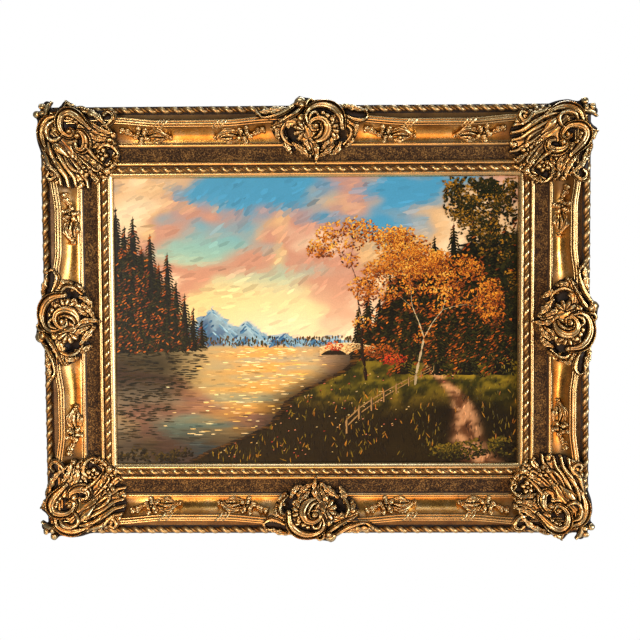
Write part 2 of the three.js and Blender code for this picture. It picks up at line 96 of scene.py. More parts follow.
class Side(Enum):
    """A side of the frame, in clockwise order from the top."""

    TOP = 0
    RIGHT = 1
    BOTTOM = 2
    LEFT = 3

    @property
    def length(self) -> float:
        """Length of the side's outer edge in millimetres."""
        return SIZES.height if self.upright else SIZES.width

    @property
    def upright(self) -> bool:
        """Whether the side is one of the two stiles."""
        return self in (Side.RIGHT, Side.LEFT)

    @property
    def word(self) -> str:
        """The side's name as its nodes spell it."""
        return self.name.lower()

    @property
    def rail(self) -> str:
        """The CAD node of the side's moulding."""
        return f"{'stile' if self.upright else 'rail'}_{self.word}"

    def place(self, points: Array, along: float = 0.0) -> Array:
        """Turn a drawing onto this side of the frame.

        Args:
            points: rows of (x, y, h) in millimetres.
            along: where the drawing's x = 0 lies along the side.

        Returns:
            Rows of world coordinates in metres.
        """
        half = (SIZES.width if self.upright else SIZES.height) / 2
        turn = -self.value * math.pi / 2
        x, y = points[:, 0] + along, points[:, 1] + half
        across = x * math.cos(turn) - y * math.sin(turn)
        up = x * math.sin(turn) + y * math.cos(turn)
        return np.stack([across, -points[:, 2], up + SIZES.middle], axis=1) * MM


# ---- small helpers ----
def linear(code: str) -> tuple[float, float, float, float]:
    """Turn an sRGB hex code such as "#c08a3a" into a linear colour with alpha 1."""
    parts = [int(code[i:i + 2], 16) / 255 for i in (1, 3, 5)]
    curved = [p / 12.92 if p <= 0.04045 else ((p + 0.055) / 1.055) ** 2.4 for p in parts]
    return (*curved, 1.0)


def smooth(low: float, high: float, value: Array) -> Array:
    """Rise smoothly from 0 at low to 1 at high."""
    s = np.clip((value - low) / (high - low), 0.0, 1.0)
    return s * s * (3 - 2 * s)


def rounded(points: Array, spacing: float, closed: bool = False) -> Array:
    """Pass a smooth curve through points and space it evenly.

    Args:
        points: rows of (x, y) that the curve passes through.
        spacing: distance between the returned points.
        closed: whether the curve returns to its first point.

    Returns:
        Rows of (x, y) along the curve.
    """
    pts = np.asarray(points, float)
    if closed:
        ring = np.vstack([pts[-1], pts, pts[0], pts[1]])
    else:
        ring = np.vstack([2 * pts[0] - pts[1], pts, 2 * pts[-1] - pts[-2]])
    s = np.linspace(0, 1, 16, endpoint=False)[:, None]
    spans = []
    for a, b, c, d in zip(ring, ring[1:], ring[2:], ring[3:]):
        spans.append(0.5 * (2 * b + (c - a) * s + (2 * a - 5 * b + 4 * c - d) * s ** 2
                            + (3 * b - a - 3 * c + d) * s ** 3))
    fine = np.vstack([*spans, pts[:1] if closed else pts[-1:]])
    run = np.concatenate([[0], np.cumsum(np.hypot(*np.diff(fine, axis=0).T))])
    count = max(2, int(round(run[-1] / spacing)) + 1)
    at = np.linspace(0, run[-1], count)
    return np.stack([np.interp(at, run, fine[:, k]) for k in (0, 1)], axis=1)


def set_out(name: str, data: bpy.types.ID) -> Object:
    """Make an object of a mesh, light or camera at the origin and link it to the scene."""
    item = bpy.data.objects.new(name, data)
    bpy.context.scene.collection.objects.link(item)
    return item


def make_mesh(name: str, points: Array, faces: Array | list) -> Object:
    """Make an object with a mesh at the origin.

    Args:
        name: name of the object and its mesh.
        points: rows of world coordinates in metres.
        faces: rows of vertex numbers, outward faces anticlockwise.

    Returns:
        The object, linked to the scene.
    """
    mesh = bpy.data.meshes.new(name)
    mesh.from_pydata(points.tolist(), [], [list(map(int, face)) for face in faces])
    mesh.shade_smooth()
    return set_out(name, mesh)


def set_value(mesh: Mesh, name: str, values: Array) -> None:
    """Store one number per vertex under a name that a material reads."""
    layer = mesh.attributes.new(name, "FLOAT", "POINT")
    layer.data.foreach_set("value", np.asarray(values, np.float32))


def set_colour(mesh: Mesh, name: str, values: Array) -> None:
    """Store one linear colour per vertex under a name that a material reads."""
    layer = mesh.attributes.new(name, "FLOAT_COLOR", "POINT")
    rgba = np.concatenate([values, np.ones((len(values), 1))], axis=1)
    layer.data.foreach_set("color", rgba.astype(np.float32).ravel())


def mesh_points(mesh: Mesh) -> Array:
    """The mesh's vertices as rows of coordinates."""
    flat = np.empty(len(mesh.vertices) * 3)
    mesh.vertices.foreach_get("co", flat)
    return flat.reshape(-1, 3)


def applied(piece: Object) -> Object:
    """Turn a piece's modifiers into plain mesh and take them off.

    Args:
        piece: the piece.

    Returns:
        The same piece.
    """
    graph = bpy.context.evaluated_depsgraph_get()
    mesh = bpy.data.meshes.new_from_object(piece.evaluated_get(graph))
    piece.modifiers.clear()
    piece.data = mesh
    mesh.name = piece.name
    return piece


def joined(name: str, pieces: list[Object]) -> Object:
    """Join several objects into the first and rename it.

    Args:
        name: the new name.
        pieces: the objects.

    Returns:
        The joined object.
    """
    bpy.ops.object.select_all(action="DESELECT")
    for piece in pieces:
        piece.select_set(True)
    bpy.context.view_layer.objects.active = pieces[0]
    bpy.ops.object.join()
    pieces[0].name = name
    pieces[0].data.name = name
    return pieces[0]


# ---- finishes ----
MATH, MIX, NOISE, RAMP = "ShaderNodeMath", "ShaderNodeMix", "ShaderNodeTexNoise", "ShaderNodeValToRGB"
TIMES, PLUS_TIMES = {"operation": "MULTIPLY"}, {"operation": "MULTIPLY_ADD"}
CLAMPED = {"operation": "MULTIPLY_ADD", "use_clamp": True}
TINTS = {"data_type": "RGBA"}


class NodeSheet:
    """A node tree, with one small function that adds a node."""

    def __init__(self, tree: NodeTree) -> None:
        """Work on a tree."""
        self.tree = tree

    def add(self, kind: str, settings: dict | None = None, *numbered: object,
            **named: object) -> Node:
        """Add a node with its settings and links.

        Args:
            kind: the node's type.
            settings: properties of the node, and for a ramp its stops of (position, hex code).
            numbered: a value, node or socket for each input in use, None to pass one over.
            named: the same for inputs by name, with underscores for spaces.

        Returns:
            The new node.
        """
        node = self.tree.nodes.new(kind)
        settings = dict(settings or {})
        stops = settings.pop("stops", ())
        for key, value in settings.items():
            setattr(node, key, value)
        for _ in stops[2:]:
            node.color_ramp.elements.new(0.5)
        for k, (position, code) in enumerate(stops):
            node.color_ramp.elements[k].position = position
            node.color_ramp.elements[k].color = linear(code)
        in_use = [socket for socket in node.inputs if socket.enabled]
        pairs = list(zip(in_use, numbered))
        pairs += [(node.inputs[key.replace("_", " ")], value) for key, value in named.items()]
        for socket, value in pairs:
            if isinstance(value, Node):
                value = next(out for out in value.outputs if out.enabled)
            if isinstance(value, NodeSocket):
                self.tree.links.new(value, socket)
            elif value is not None:
                socket.default_value = value
        return node


class MaterialSheet(NodeSheet):
    """The node tree of a material."""

    def __init__(self, name: str) -> None:
        """Start an empty material, with the object's own coordinates at hand."""
        self.material = bpy.data.materials.new(name)
        self.material.use_nodes = True
        super().__init__(self.material.node_tree)
        self.tree.nodes.clear()
        self.place = self.add("ShaderNodeTexCoord").outputs["Object"]

    def finish(self, **inputs: object) -> Material:
        """Link a principled shader with these inputs to the output and return the material."""
        shader = self.add("ShaderNodeBsdfPrincipled", {}, **inputs)
        self.add("ShaderNodeOutputMaterial", {}, shader)
        return self.material


@dataclass(frozen=True)
class Gilding:
    """Metal leaf laid on red bole over gesso and composition, toned with umber and shellacked.

    Attributes:
        name: the material's name.
        leaf: colour of the clean leaf.
        deep: colour of the leaf where the umber wash lies thinly.
        roughness: of the clean leaf.
        tone: how strongly the hollows darken, with umber wash and painted shade.
    """

    name: str
    leaf: str = "#cb9646"
    deep: str = "#7a4618"
    roughness: float = 0.24
    tone: float = 1.0

    def material(self) -> Material:
        """Build the material: amber flanks, a painted highlight of pale cream on the crests, and
        near-black painted shade over umber wash in the hollows.

        Returns:
            The material.
        """
        sheet = MaterialSheet(self.name)
        add, place = sheet.add, sheet.place
        hollow = add("ShaderNodeAttribute", {"attribute_name": "hollow"}).outputs["Fac"]
        crest = add("ShaderNodeAttribute", {"attribute_name": "crest"}).outputs["Fac"]
        # clouds 34 mm wide and specks of 2.6 mm keep any stretch of leaf from one flat colour
        cloud = add(NOISE, {}, place, Scale=1 / (34 * MM), Detail=4.0)
        speck = add(NOISE, {}, place, Scale=1 / (2.6 * MM), Detail=3.0, Roughness=0.65)
        worn = add(MATH, PLUS_TIMES, speck, 0.5, cloud)
        tint = add(RAMP, {"stops": [(0.45, self.deep), (0.8, self.leaf), (1.0, "#e8c288")]}, worn)
        # painted highlight: the crests are mixed towards pale cream, where handling has also worn the
        # umber wash away
        tint = add(MIX, TINTS, add(MATH, CLAMPED, crest, 0.75, 0.0), tint, linear("#f9e4ac"))
        # rubs of red bole, 7.5 mm across
        rub = add(NOISE, {}, place, Scale=1 / (7.5 * MM), Detail=5.0, Roughness=0.7)
        rub = add(MATH, CLAMPED, rub, 6.0, -4.1)
        tint = add(MIX, TINTS, add(MATH, TIMES, rub, 0.5), tint, linear("#7a3a1c"))
        # umber wash in specks on the leaf, and painted shade in the hollows, all but solid near black
        wash_and_shade = add(MATH, PLUS_TIMES, hollow, 1.7 * self.tone, -0.34)
        dirt_and_shade = add(MATH, CLAMPED, speck, 0.5, wash_and_shade)
        colour = add(MIX, TINTS, dirt_and_shade, tint, linear("#1c0e06"))
        metal = add(MATH, CLAMPED, dirt_and_shade, -0.9, 1.0)
        clean = add(MATH, PLUS_TIMES, speck, 0.2, self.roughness - 0.08)
        rough = add(MATH, PLUS_TIMES, dirt_and_shade, 0.35, clean)
        ripple = add(NOISE, {}, place, Scale=1 / (1.7 * MM), Detail=4.0, Roughness=0.6)
        bump = add("ShaderNodeBump", {}, Strength=0.22, Distance=0.6 * MM, Height=ripple)
        # a thin coat of shellac gives the white glints
        coat = add(MATH, CLAMPED, dirt_and_shade, -0.5, 0.4)
        return sheet.finish(Base_Color=colour, Metallic=metal, Roughness=rough, Normal=bump,
                            Coat_Weight=coat, Coat_Roughness=0.16)


@dataclass(frozen=True)
class SandedPanel:
    """Sand sprinkled in glue, gilded thinly and toned dark: a brown speckled, matt band."""

    name: str = "sanded_panel"

    def material(self) -> Material:
        """Build the material: dark brown with ochre grains about 2 mm across.

        Returns:
            The material.
        """
        sheet = MaterialSheet(self.name)
        add, place = sheet.add, sheet.place
        grain = add(NOISE, {}, place, Scale=1 / (2.2 * MM), Detail=2.0, Roughness=0.8)
        patch = add(NOISE, {}, place, Scale=1 / (15 * MM), Detail=3.0)
        mixed = add(MATH, PLUS_TIMES, patch, 0.3, grain)
        colour = add(RAMP, {"stops": [(0.48, "#0d0703"), (0.6, "#2c1b0b"), (0.7, "#553c1e"),
                                      (0.84, "#a37f49")]}, mixed)
        # the tops of the grains still carry leaf
        shine = add(MATH, CLAMPED, mixed, 3.0, -2.0)
        bump = add("ShaderNodeBump", {}, Strength=0.8, Distance=1.0 * MM, Height=grain)
        return sheet.finish(Base_Color=colour, Metallic=shine, Roughness=0.6, Normal=bump,
                            Specular_IOR_Level=0.2)


@dataclass(frozen=True)
class BareWood:
    """Planed softwood: pale bands of early wood with darker late wood along the grain.

    Attributes:
        name: the material's name.
        pale: colour of the early wood.
        dark: colour of the late wood.
        along_x: whether the grain runs level, along x, and not upright.
    """

    name: str
    pale: str
    dark: str
    along_x: bool = True

    @classmethod
    def pair(cls, name: str, pale: str, dark: str) -> tuple[Material, ...]:
        """The same wood with its grain level, and with its grain upright."""
        return (cls(f"{name}_level", pale, dark).material(),
                cls(f"{name}_upright", pale, dark, along_x=False).material())

    def material(self) -> Material:
        """Build the material: stretched rings about 4 mm apart, fine pores and a soft sheen.

        Returns:
            The material.
        """
        sheet = MaterialSheet(self.name)
        add, place = sheet.add, sheet.place
        stretch = (3, 90, 90) if self.along_x else (90, 90, 3)
        turned = add("ShaderNodeMapping", {}, place, Scale=stretch)
        rings = add(NOISE, {}, turned, Scale=2.4, Detail=5.0, Roughness=0.6)
        pores = add(NOISE, {}, turned, Scale=14.0, Detail=2.0)
        colour = add(RAMP, {"stops": [(0.35, self.pale), (0.52, self.dark), (0.6, self.pale)]}, rings)
        colour = add(MIX, TINTS, add(MATH, TIMES, pores, 0.4), colour, linear(self.dark))
        bump = add("ShaderNodeBump", {}, Strength=0.25, Distance=0.5 * MM, Height=pores)
        return sheet.finish(Base_Color=colour, Roughness=0.68, Normal=bump)


@dataclass(frozen=True)
class StampedMetal:
    """Thin stamped plate, dulled by handling: a grey or brassy sheen with duller clouds.

    Attributes:
        name: the material's name.
        colour: colour of the clean metal.
        dull: colour of the tarnish.
    """

    name: str
    colour: str
    dull: str

    def material(self) -> Material:
        """Build the material: bare metal with cloudy tarnish 5 mm across.

        Returns:
            The material.
        """
        sheet = MaterialSheet(self.name)
        add, place = sheet.add, sheet.place
        cloud = add(NOISE, {}, place, Scale=1 / (5 * MM), Detail=4.0, Roughness=0.6)
        colour = add(RAMP, {"stops": [(0.35, self.dull), (0.65, self.colour)]}, cloud)
        rough = add(MATH, PLUS_TIMES, cloud, 0.3, 0.25)
        return sheet.finish(Base_Color=colour, Metallic=1.0, Roughness=rough)


@dataclass(frozen=True)
class OilPaint:
    """Oil paint over primed linen, varnished: deep colour with a satin skin and brush ridges."""

    name: str = "varnished_oil_paint"

    def material(self) -> Material:
        """Build the material from the mesh's own colours, with bare linen where it isn't painted.

        Returns:
            The material.
        """
        sheet = MaterialSheet(self.name)
        add, place = sheet.add, sheet.place
        paint = add("ShaderNodeAttribute", {"attribute_name": "paint"}).outputs["Color"]
        bare = add("ShaderNodeAttribute", {"attribute_name": "linen"}).outputs["Fac"]
        # linen threads, drawn 3 mm apart where real ones lie 1 mm apart, so that they still show
        threads = [add("ShaderNodeTexWave", {"wave_type": "BANDS", "bands_direction": way},
                       place, Scale=math.tau / (20 * 3 * MM), Distortion=0.6, Detail=1.0)
                   .outputs["Fac"] for way in ("X", "Z")]
        weave = add(MATH, TIMES, *threads)
        bristle = add(NOISE, {}, place, Scale=1 / (1.6 * MM), Detail=4.0, Roughness=0.65)
        raw = add(RAMP, {"stops": [(0.1, "#6b5636"), (0.8, "#a98e62")]}, weave)
        colour = add(MIX, TINTS, bare, paint, raw)
        # varnish deepens the darks
        colour = add("ShaderNodeGamma", {}, colour, 1.22)
        uneven = add(MATH, PLUS_TIMES, bristle, 0.5, 1.02)
        colour = add("ShaderNodeVectorMath", {"operation": "SCALE"}, colour, Scale=uneven)
        relief = add(MATH, PLUS_TIMES, weave, 0.35, bristle)
        bump = add("ShaderNodeBump", {}, Strength=0.35, Distance=0.5 * MM, Height=relief)
        rough = add(MATH, PLUS_TIMES, bare, 0.35, add(MATH, PLUS_TIMES, bristle, 0.2, 0.3))
        return sheet.finish(Base_Color=colour, Roughness=rough, Normal=bump, Specular_IOR_Level=0.2)


# ---- mouldings ----
class Band(Enum):
    """The finish of a stretch of the moulding's profile."""

    GILT = 0
    PANEL = 1
    WOOD = 2


@dataclass(frozen=True)
class ProfilePoint:
    """A point of the moulding's profile.

    Attributes:
        u: distance in from the outer edge.
        h: height above the wall.
        hollow: how dark it is painted there, 0 to 1: umber wash with painted shade.
        band: the finish of the stretch that starts here.
    """

    u: float
    h: float
    hollow: float = 0.0
    band: Band = Band.GILT


def arc(u: float, h: float, radius: float, start: float, end: float, steps: int,
        squash: float = 1.0) -> list[tuple[float, float, float]]:
    """Rows of (u, h, hollow) on an arc of the profile.

    Args:
        u: distance of its centre from the outer edge.
        h: height of its centre.
        radius: its radius.
        start: angle of its first point in degrees.
        end: angle of its last point.
        steps: how many points it has.
        squash: its height as a share of its width.

    Returns:
        The rows, with painted shade darker towards the arc's foot.
    """
    angles = np.radians(np.linspace(start, end, steps))
    return [(u + radius * math.cos(a), h + radius * squash * math.sin(a),
             0.55 * (1 - max(0.0, math.sin(a)))) for a in angles]


@dataclass
class Moulding:
    """The swept moulding: rope beds, a reeded rail that bows inwards, a cove and a sanded panel.

    Attributes:
        bow_depth: how far the reeds bow in towards the picture.
        from_centre: where the bow starts, measured from the side's middle.
        from_corner: where the bow ends, measured from the side's end.
        cove: (outer u, outer h, inner u, inner h) of the cove.
        stations: spans along one side.
    """

    bow_depth: float = 6.0
    from_centre: float = 70.0
    from_corner: float = 120.0
    cove: tuple[float, float, float, float] = (30.6, 43.0, 61.0, 26.2)
    stations: int = 96

    def cove_height(self, u: float) -> float:
        """Height of the cove's scooped surface at u."""
        outer, high, inner, low = self.cove
        s = min(max((u - outer) / (inner - outer), 0.0), 1.0)
        return low + (high - low) * (1 - s) ** 2.2

    def profile(self) -> list[ProfilePoint]:
        """The closed profile, from the wall up the outer edge and over to the rabbet."""
        outer, high, inner, _ = self.cove
        # hollow values: umber wash with painted shade, darkest in the beds under the ropes, in the quirks
        # and at the top of the cove under the reeds
        cove = [(u, self.cove_height(u), 0.35 * (1 - (u - outer) / (inner - outer)) ** 3)
                for u in np.linspace(outer, inner, 20)]
        rows = [
            (0, 0, 0.5), (0, 30.8, 0.6), (0.5, 32.2, 0.7),
            (1.2, 32.8, 0.95), (12.0, 32.8, 0.95), (13.0, 31.8, 0.7),
            (14.2, 31.7, 0.48), (16.6, 32.0, 0.48), (18.0, 32.4, 0.8),
            (18.3, 41.0, 0.6),
            *arc(20.2, 45.6, 1.9, 190, 20, 8), (22.2, 45.9, 0.9),
            *arc(24.3, 47.6, 2.2, 165, 15, 8), (26.6, 46.2, 0.9),
            *arc(28.3, 45.6, 1.7, 160, -10, 8), (outer - 0.3, high + 0.4, 0.75),
            *cove,
            (61.9, 26.3, 0.85), (62.3, 28.0, 0.3), (62.9, 28.8, 0.0),
            (64.6, 29.1, 0.1), (66.4, 28.8, 0.0), (67.2, 27.8, 0.2),
            (68.6, 26.4, 0.5), (69.8, 25.1, 1.0),
            (70.4, 24.9, 1.0, Band.PANEL), (92.0, 24.9, 1.0),
            *arc(96.0, 25.2, 3.7, 175, 5, 12, 1.25), (100.2, 24.2, 0.7),
            (101.2, 24.0, 0.5), (110.6, 24.6, 0.45),
            (111.2, 26.4, 0.4), (112.0, 27.6, 0.1), (113.4, 28.0, 0.0),
            (114.8, 27.6, 0.2), (115.6, 26.7, 0.35), (116.6, 26.0, 0.1),
            (118.4, 24.2, 0.0), (119.6, 22.0, 0.1), (120.0, 20.5, 0.3),
            (120.0, 17.5, 0.6, Band.WOOD), (114.0, 17.5, 0.6, Band.WOOD),
            (114.0, 0.0, 0.3, Band.WOOD),
        ]
        return [ProfilePoint(*row) for row in rows]

    def share(self, u: float) -> float:
        """How much of the bow a profile point at u takes."""
        if u < 18:
            return float(smooth(13.0, 18.0, np.array(u)))
        return max(0.0, min(1.0, (61.5 - u) / 31.0)) ** 1.5

    def bow(self, x: Array, length: float) -> Array:
        """How far the reeds stand in from their place at x."""
        span = length / 2 - self.from_centre - self.from_corner
        s = np.clip((np.abs(x) - self.from_centre) / span, 0, 1)
        return self.bow_depth * smooth(0, 0.32, s) * smooth(1, 0.68, s)

    def top(self, u: Array) -> Array:
        """Height of the moulding's upper surface at u."""
        line = [p for p in self.profile() if p.h > 20]
        return np.interp(u, [p.u for p in line], [p.h for p in line])

    def build(self, side: Side) -> Object:
        """Sweep the profile along one side, mitred at both ends.

        Args:
            side: the side of the frame.

        Returns:
            A closed mesh with the finishes of its bands as face numbers.
        """
        profile = self.profile()
        rows, columns = len(profile), self.stations + 1
        travel = np.linspace(-1, 1, columns)
        points = np.empty((columns, rows, 3))
        for k, point in enumerate(profile):
            x = travel * (side.length / 2 - point.u)
            points[:, k, 0] = x
            points[:, k, 1] = -point.u - self.share(point.u) * self.bow(x, side.length)
            points[:, k, 2] = point.h
        number = np.arange(columns * rows).reshape(columns, rows)
        ahead = np.roll(number, -1, axis=1)
        quads = np.stack([ahead[:-1], ahead[1:], number[1:], number[:-1]], axis=-1).reshape(-1, 4)
        faces = [*quads, number[0][::-1], number[-1]]
        piece = make_mesh(f"moulding_{side.word}", side.place(points.reshape(-1, 3)), faces)
        bands = np.array([point.band.value for point in profile])
        kinds = np.concatenate([np.tile(bands, self.stations), [Band.WOOD.value] * 2])
        piece.data.polygons.foreach_set("material_index", kinds.astype(np.int32))
        hollow = np.tile([point.hollow for point in profile], (columns, 1))
        thin = np.array([not self.cove[0] < point.u < self.cove[2] for point in profile])
        # painted highlight on the narrow members outside the cove, brightest on the lip at the sight edge
        highlight_level = np.array([0.95 if point.u > 111 else 0.55 for point in profile])
        set_value(piece.data, "crest", (np.clip(highlight_level - 1.6 * hollow, 0, 1) * thin).ravel())
        # painted shade darkens the cove under and round the castings in the side's middle and at its ends
        x, half = points[:, :, 0], side.length / 2
        shade_round_castings = 0.9 * np.exp(-(x / 66) ** 4) + 0.45 * smooth(half - 175, half - 130, np.abs(x))
        set_value(piece.data, "hollow", np.where(thin, hollow, np.maximum(hollow, shade_round_castings)).ravel())
        piece.data.set_sharp_from_angle(angle=math.radians(50))
        return piece


# ---- ropes, by geometry nodes ----
@dataclass(frozen=True)
class Rope:
    """A laid rope of two plies that runs along a side.

    Attributes:
        u: distance of its middle from the outer edge.
        h: height of its middle above the wall.
        pitch: length of one full turn of a ply.
        ply: radius of the thick ply.
        second: radius of the thin ply.
        lay: distance of each ply's middle from the rope's.
        steps_per_turn: points along each full turn.
        tone: how dark its crests are kept, with grime and painted shade.
    """

    u: float
    h: float
    pitch: float
    ply: float
    second: float
    lay: float
    steps_per_turn: int = 14
    tone: float = 0.0


class GeometrySheet(NodeSheet):
    """A geometry node tree with named inputs, run on a piece and kept as plain mesh."""

    def __init__(self, name: str, sockets: dict[str, str]) -> None:
        """Start a tree with named inputs.

        Args:
            name: the tree's name.
            sockets: type of each named input.
        """
        super().__init__(bpy.data.node_groups.new(name, "GeometryNodeTree"))
        face = self.tree.interface
        face.new_socket("Geometry", in_out="OUTPUT", socket_type="NodeSocketGeometry")
        for label, kind in {**sockets, "Finish": "Material"}.items():
            face.new_socket(label, in_out="INPUT", socket_type=f"NodeSocket{kind}")
        self.given = self.add("NodeGroupInput").outputs

    def dress(self, geometry: Node) -> None:
        """End the tree: make the instances real and give them their finish."""
        real = self.add("GeometryNodeRealizeInstances", {}, geometry)
        self.add("NodeGroupOutput", {}, self.add("GeometryNodeSetMaterial", {}, real,
                                                 Material=self.given["Finish"]))

    def run(self, name: str, values: dict[str, object]) -> Object:
        """Run the tree with a value for each named input and keep its result as a plain piece.

        Args:
            name: the piece's name.
            values: a value for each named input.

        Returns:
            The piece.
        """
        piece = set_out(name, bpy.data.meshes.new(name))
        modifier = piece.modifiers.new("nodes", "NODES")
        modifier.node_group = self.tree
        for item in self.tree.interface.items_tree:
            if item.in_out == "INPUT":
                modifier[item.identifier] = values[item.name]
        return applied(piece)


class RopeTree(GeometrySheet):
    """Geometry nodes that lay two plies round a straight line."""

    NUMBERS = ("Length", "Pitch", "Ply", "Second Ply", "Lay")

    def __init__(self) -> None:
        """Build the tree with named inputs."""
        super().__init__("laid_rope", {**dict.fromkeys(self.NUMBERS, "Float"), "Steps": "Int"})
        both = self.add("GeometryNodeJoinGeometry")
        for size, phase in (("Ply", 0.0), ("Second Ply", math.pi)):
            self.tree.links.new(self.ply(size, phase).outputs[0], both.inputs[0])
        self.dress(both)

    def ply(self, size: str, phase: float) -> Node:
        """Wind one ply round the line and give it its thickness.

        Args:
            size: the input that holds its radius.
            phase: the angle at which it starts.

        Returns:
            The ply's mesh.
        """
        length, pitch, lay = (self.given[name] for name in ("Length", "Pitch", "Lay"))
        ends = [self.add("ShaderNodeCombineXYZ", {}, self.add(MATH, TIMES, length, half))
                for half in (-0.5, 0.5)]
        line = self.add("GeometryNodeCurvePrimitiveLine", {}, Start=ends[0], End=ends[1])
        turns = self.add(MATH, {"operation": "DIVIDE"}, length, pitch)
        fine = self.add("GeometryNodeResampleCurve", {}, Curve=line,
                        Count=self.add(MATH, TIMES, turns, self.given["Steps"]))
        along = self.add("ShaderNodeSeparateXYZ", {}, self.add("GeometryNodeInputPosition"))
        turned = self.add(MATH, {"operation": "DIVIDE"}, along, pitch)
        angle = self.add(MATH, PLUS_TIMES, turned, math.tau, phase)
        across, up = (self.add(MATH, TIMES, self.add(MATH, {"operation": how}, angle), lay)
                      for how in ("COSINE", "SINE"))
        offset = self.add("ShaderNodeCombineXYZ", {}, None, across, up)
        wound = self.add("GeometryNodeSetPosition", {}, Geometry=fine, Offset=offset)
        ring = self.add("GeometryNodeCurvePrimitiveCircle", {}, Resolution=8, Radius=self.given[size])
        return self.add("GeometryNodeCurveToMesh", {}, Curve=wound, Profile_Curve=ring, Fill_Caps=True)

    def lay(self, rope: Rope, side: Side, finish: Material) -> Object:
        """Lay a rope along a side and return it as plain mesh.

        Args:
            rope: its sizes.
            side: the side of the frame.
            finish: its material.

        Returns:
            The rope.
        """
        numbers = (side.length - 2 * rope.u, rope.pitch, rope.ply, rope.second, rope.lay)
        piece = self.run(f"rope_{side.word}_{round(rope.u)}", {
            **dict(zip(self.NUMBERS, numbers)), "Steps": rope.steps_per_turn, "Finish": finish})
        mesh = piece.data
        drawn = mesh_points(mesh)
        # painted shade: each ply darker towards the rope's core and towards the wall; painted highlight:
        # the outer front of each ply paler
        reach = np.hypot(drawn[:, 1], drawn[:, 2]) / (rope.lay + rope.ply)
        front = drawn[:, 2] / (rope.lay + rope.ply)
        set_value(mesh, "hollow", np.clip(1.35 - 1.5 * reach - 0.3 * front, rope.tone, 1))
        set_value(mesh, "crest", np.clip(4 * reach - 3.1, 0, 1) * (front > 0))
        mesh.vertices.foreach_set("co", side.place(drawn + np.array([0, -rope.u, rope.h])).ravel())
        mesh.shade_smooth()
        mesh.update()
        return piece


# ---- relief modelling ----
class Section(Enum):
    """The cross-section of a modelled form."""

    ROUND = "a plain rounded body"
    SCROLL = "a broad cupped body with a thin raised rim along one edge"
    BLADE = "a leaf with a lobed edge and flutes that run out to the lobes"
    FLUTED = "a rounded body cut across by flutes"


@dataclass(frozen=True)
class Form:
    """One modelled form of a casting, laid along a path.

    Attributes:
        path: (x, u) points that the form's middle passes through.
        wide: full width in millimetres.
        rise: height above the ground.
        start: share of the width at its first end.
        end: share of the width at its last end.
        section: its cross-section.
        ring: distance between flutes or lobes along it.
        swell: where along it the form is widest, 0 to 1.
        rim: the edge that a scroll's rim follows, 1 for the left of its path and -1 for the right.
    """

    path: tuple[tuple[float, float], ...]
    wide: float
    rise: float
    start: float = 0.5
    end: float = 0.5
    section: Section = Section.ROUND
    ring: float = 4.5
    swell: float = 0.45
    rim: int = -1


def leaf(path: tuple, wide: float, rise: float, lobes: int = 4) -> list[Form]:
    """An acanthus leaf with a lobed edge, whose tip curls over.

    Args:
        path: (x, u) points of the rib, from stem to tip.
        wide: full width of the leaf.
        rise: height of the rib.
        lobes: lobes along each edge.

    Returns:
        The blade and its curled tip.
    """
    spine = rounded(np.array(path, float), 1.0)
    ahead = spine[-1] - spine[-2]
    across = np.array([-ahead[1], ahead[0]]) * wide * 0.2
    tip = (tuple(spine[-1] - across * 0.3), tuple(spine[-1] + across * 0.5 + ahead * wide * 0.12),
           tuple(spine[-1] + across * 1.3))
    ring = max(4.5, len(spine) / (0.7 * lobes + 0.5))
    return [Form(path, wide, rise, 0.45, 0.5, Section.BLADE, ring, 0.5),
            Form(tip, wide * 0.36, rise * 1.1, 0.9, 0.4, swell=0.3)]


def ball(x: float, u: float, radius: float, rise: float) -> Form:
    """A round boss, such as a bud or the end of a curl."""
    return Form(((x - 0.4, u), (x + 0.4, u)), 2 * radius, rise, 1, 1)


def fan(x: float, u: float, inner: float, outer: float, first: float, last: float, count: int,
        wide: float, rise: float) -> list[Form]:
    """Petals or shell flutes that spread round a point, between two angles in degrees.

    Args:
        x: the point's place along the side.
        u: its distance from the outer edge.
        inner: where a petal starts.
        outer: where it ends.
        first: angle of the first petal.
        last: angle of the last petal.
        count: how many there are.
        wide: width of a petal.
        rise: height of a petal.

    Returns:
        The petals.
    """
    forms = []
    for angle in np.radians(np.linspace(first, last, count)):
        away = np.array([math.cos(angle), math.sin(angle)])
        path = tuple(tuple(np.array([x, u]) + reach * away)
                     for reach in (inner, (inner + outer) / 2, outer))
        forms.append(Form(path, wide, rise, 0.4, 0.85, swell=0.7))
    return forms


def flower(x: float, u: float, radius: float, petals: int, rise: float, turn: float = 0.0) -> list[Form]:
    """An open flower: a ring of broad petals round a raised button."""
    return [*fan(x, u, radius * 0.25, radius * 0.8, turn, turn + 360 * (petals - 1) / petals, petals,
                 radius * 5 / petals, rise), ball(x, u, radius * 0.26, rise * 1.25)]


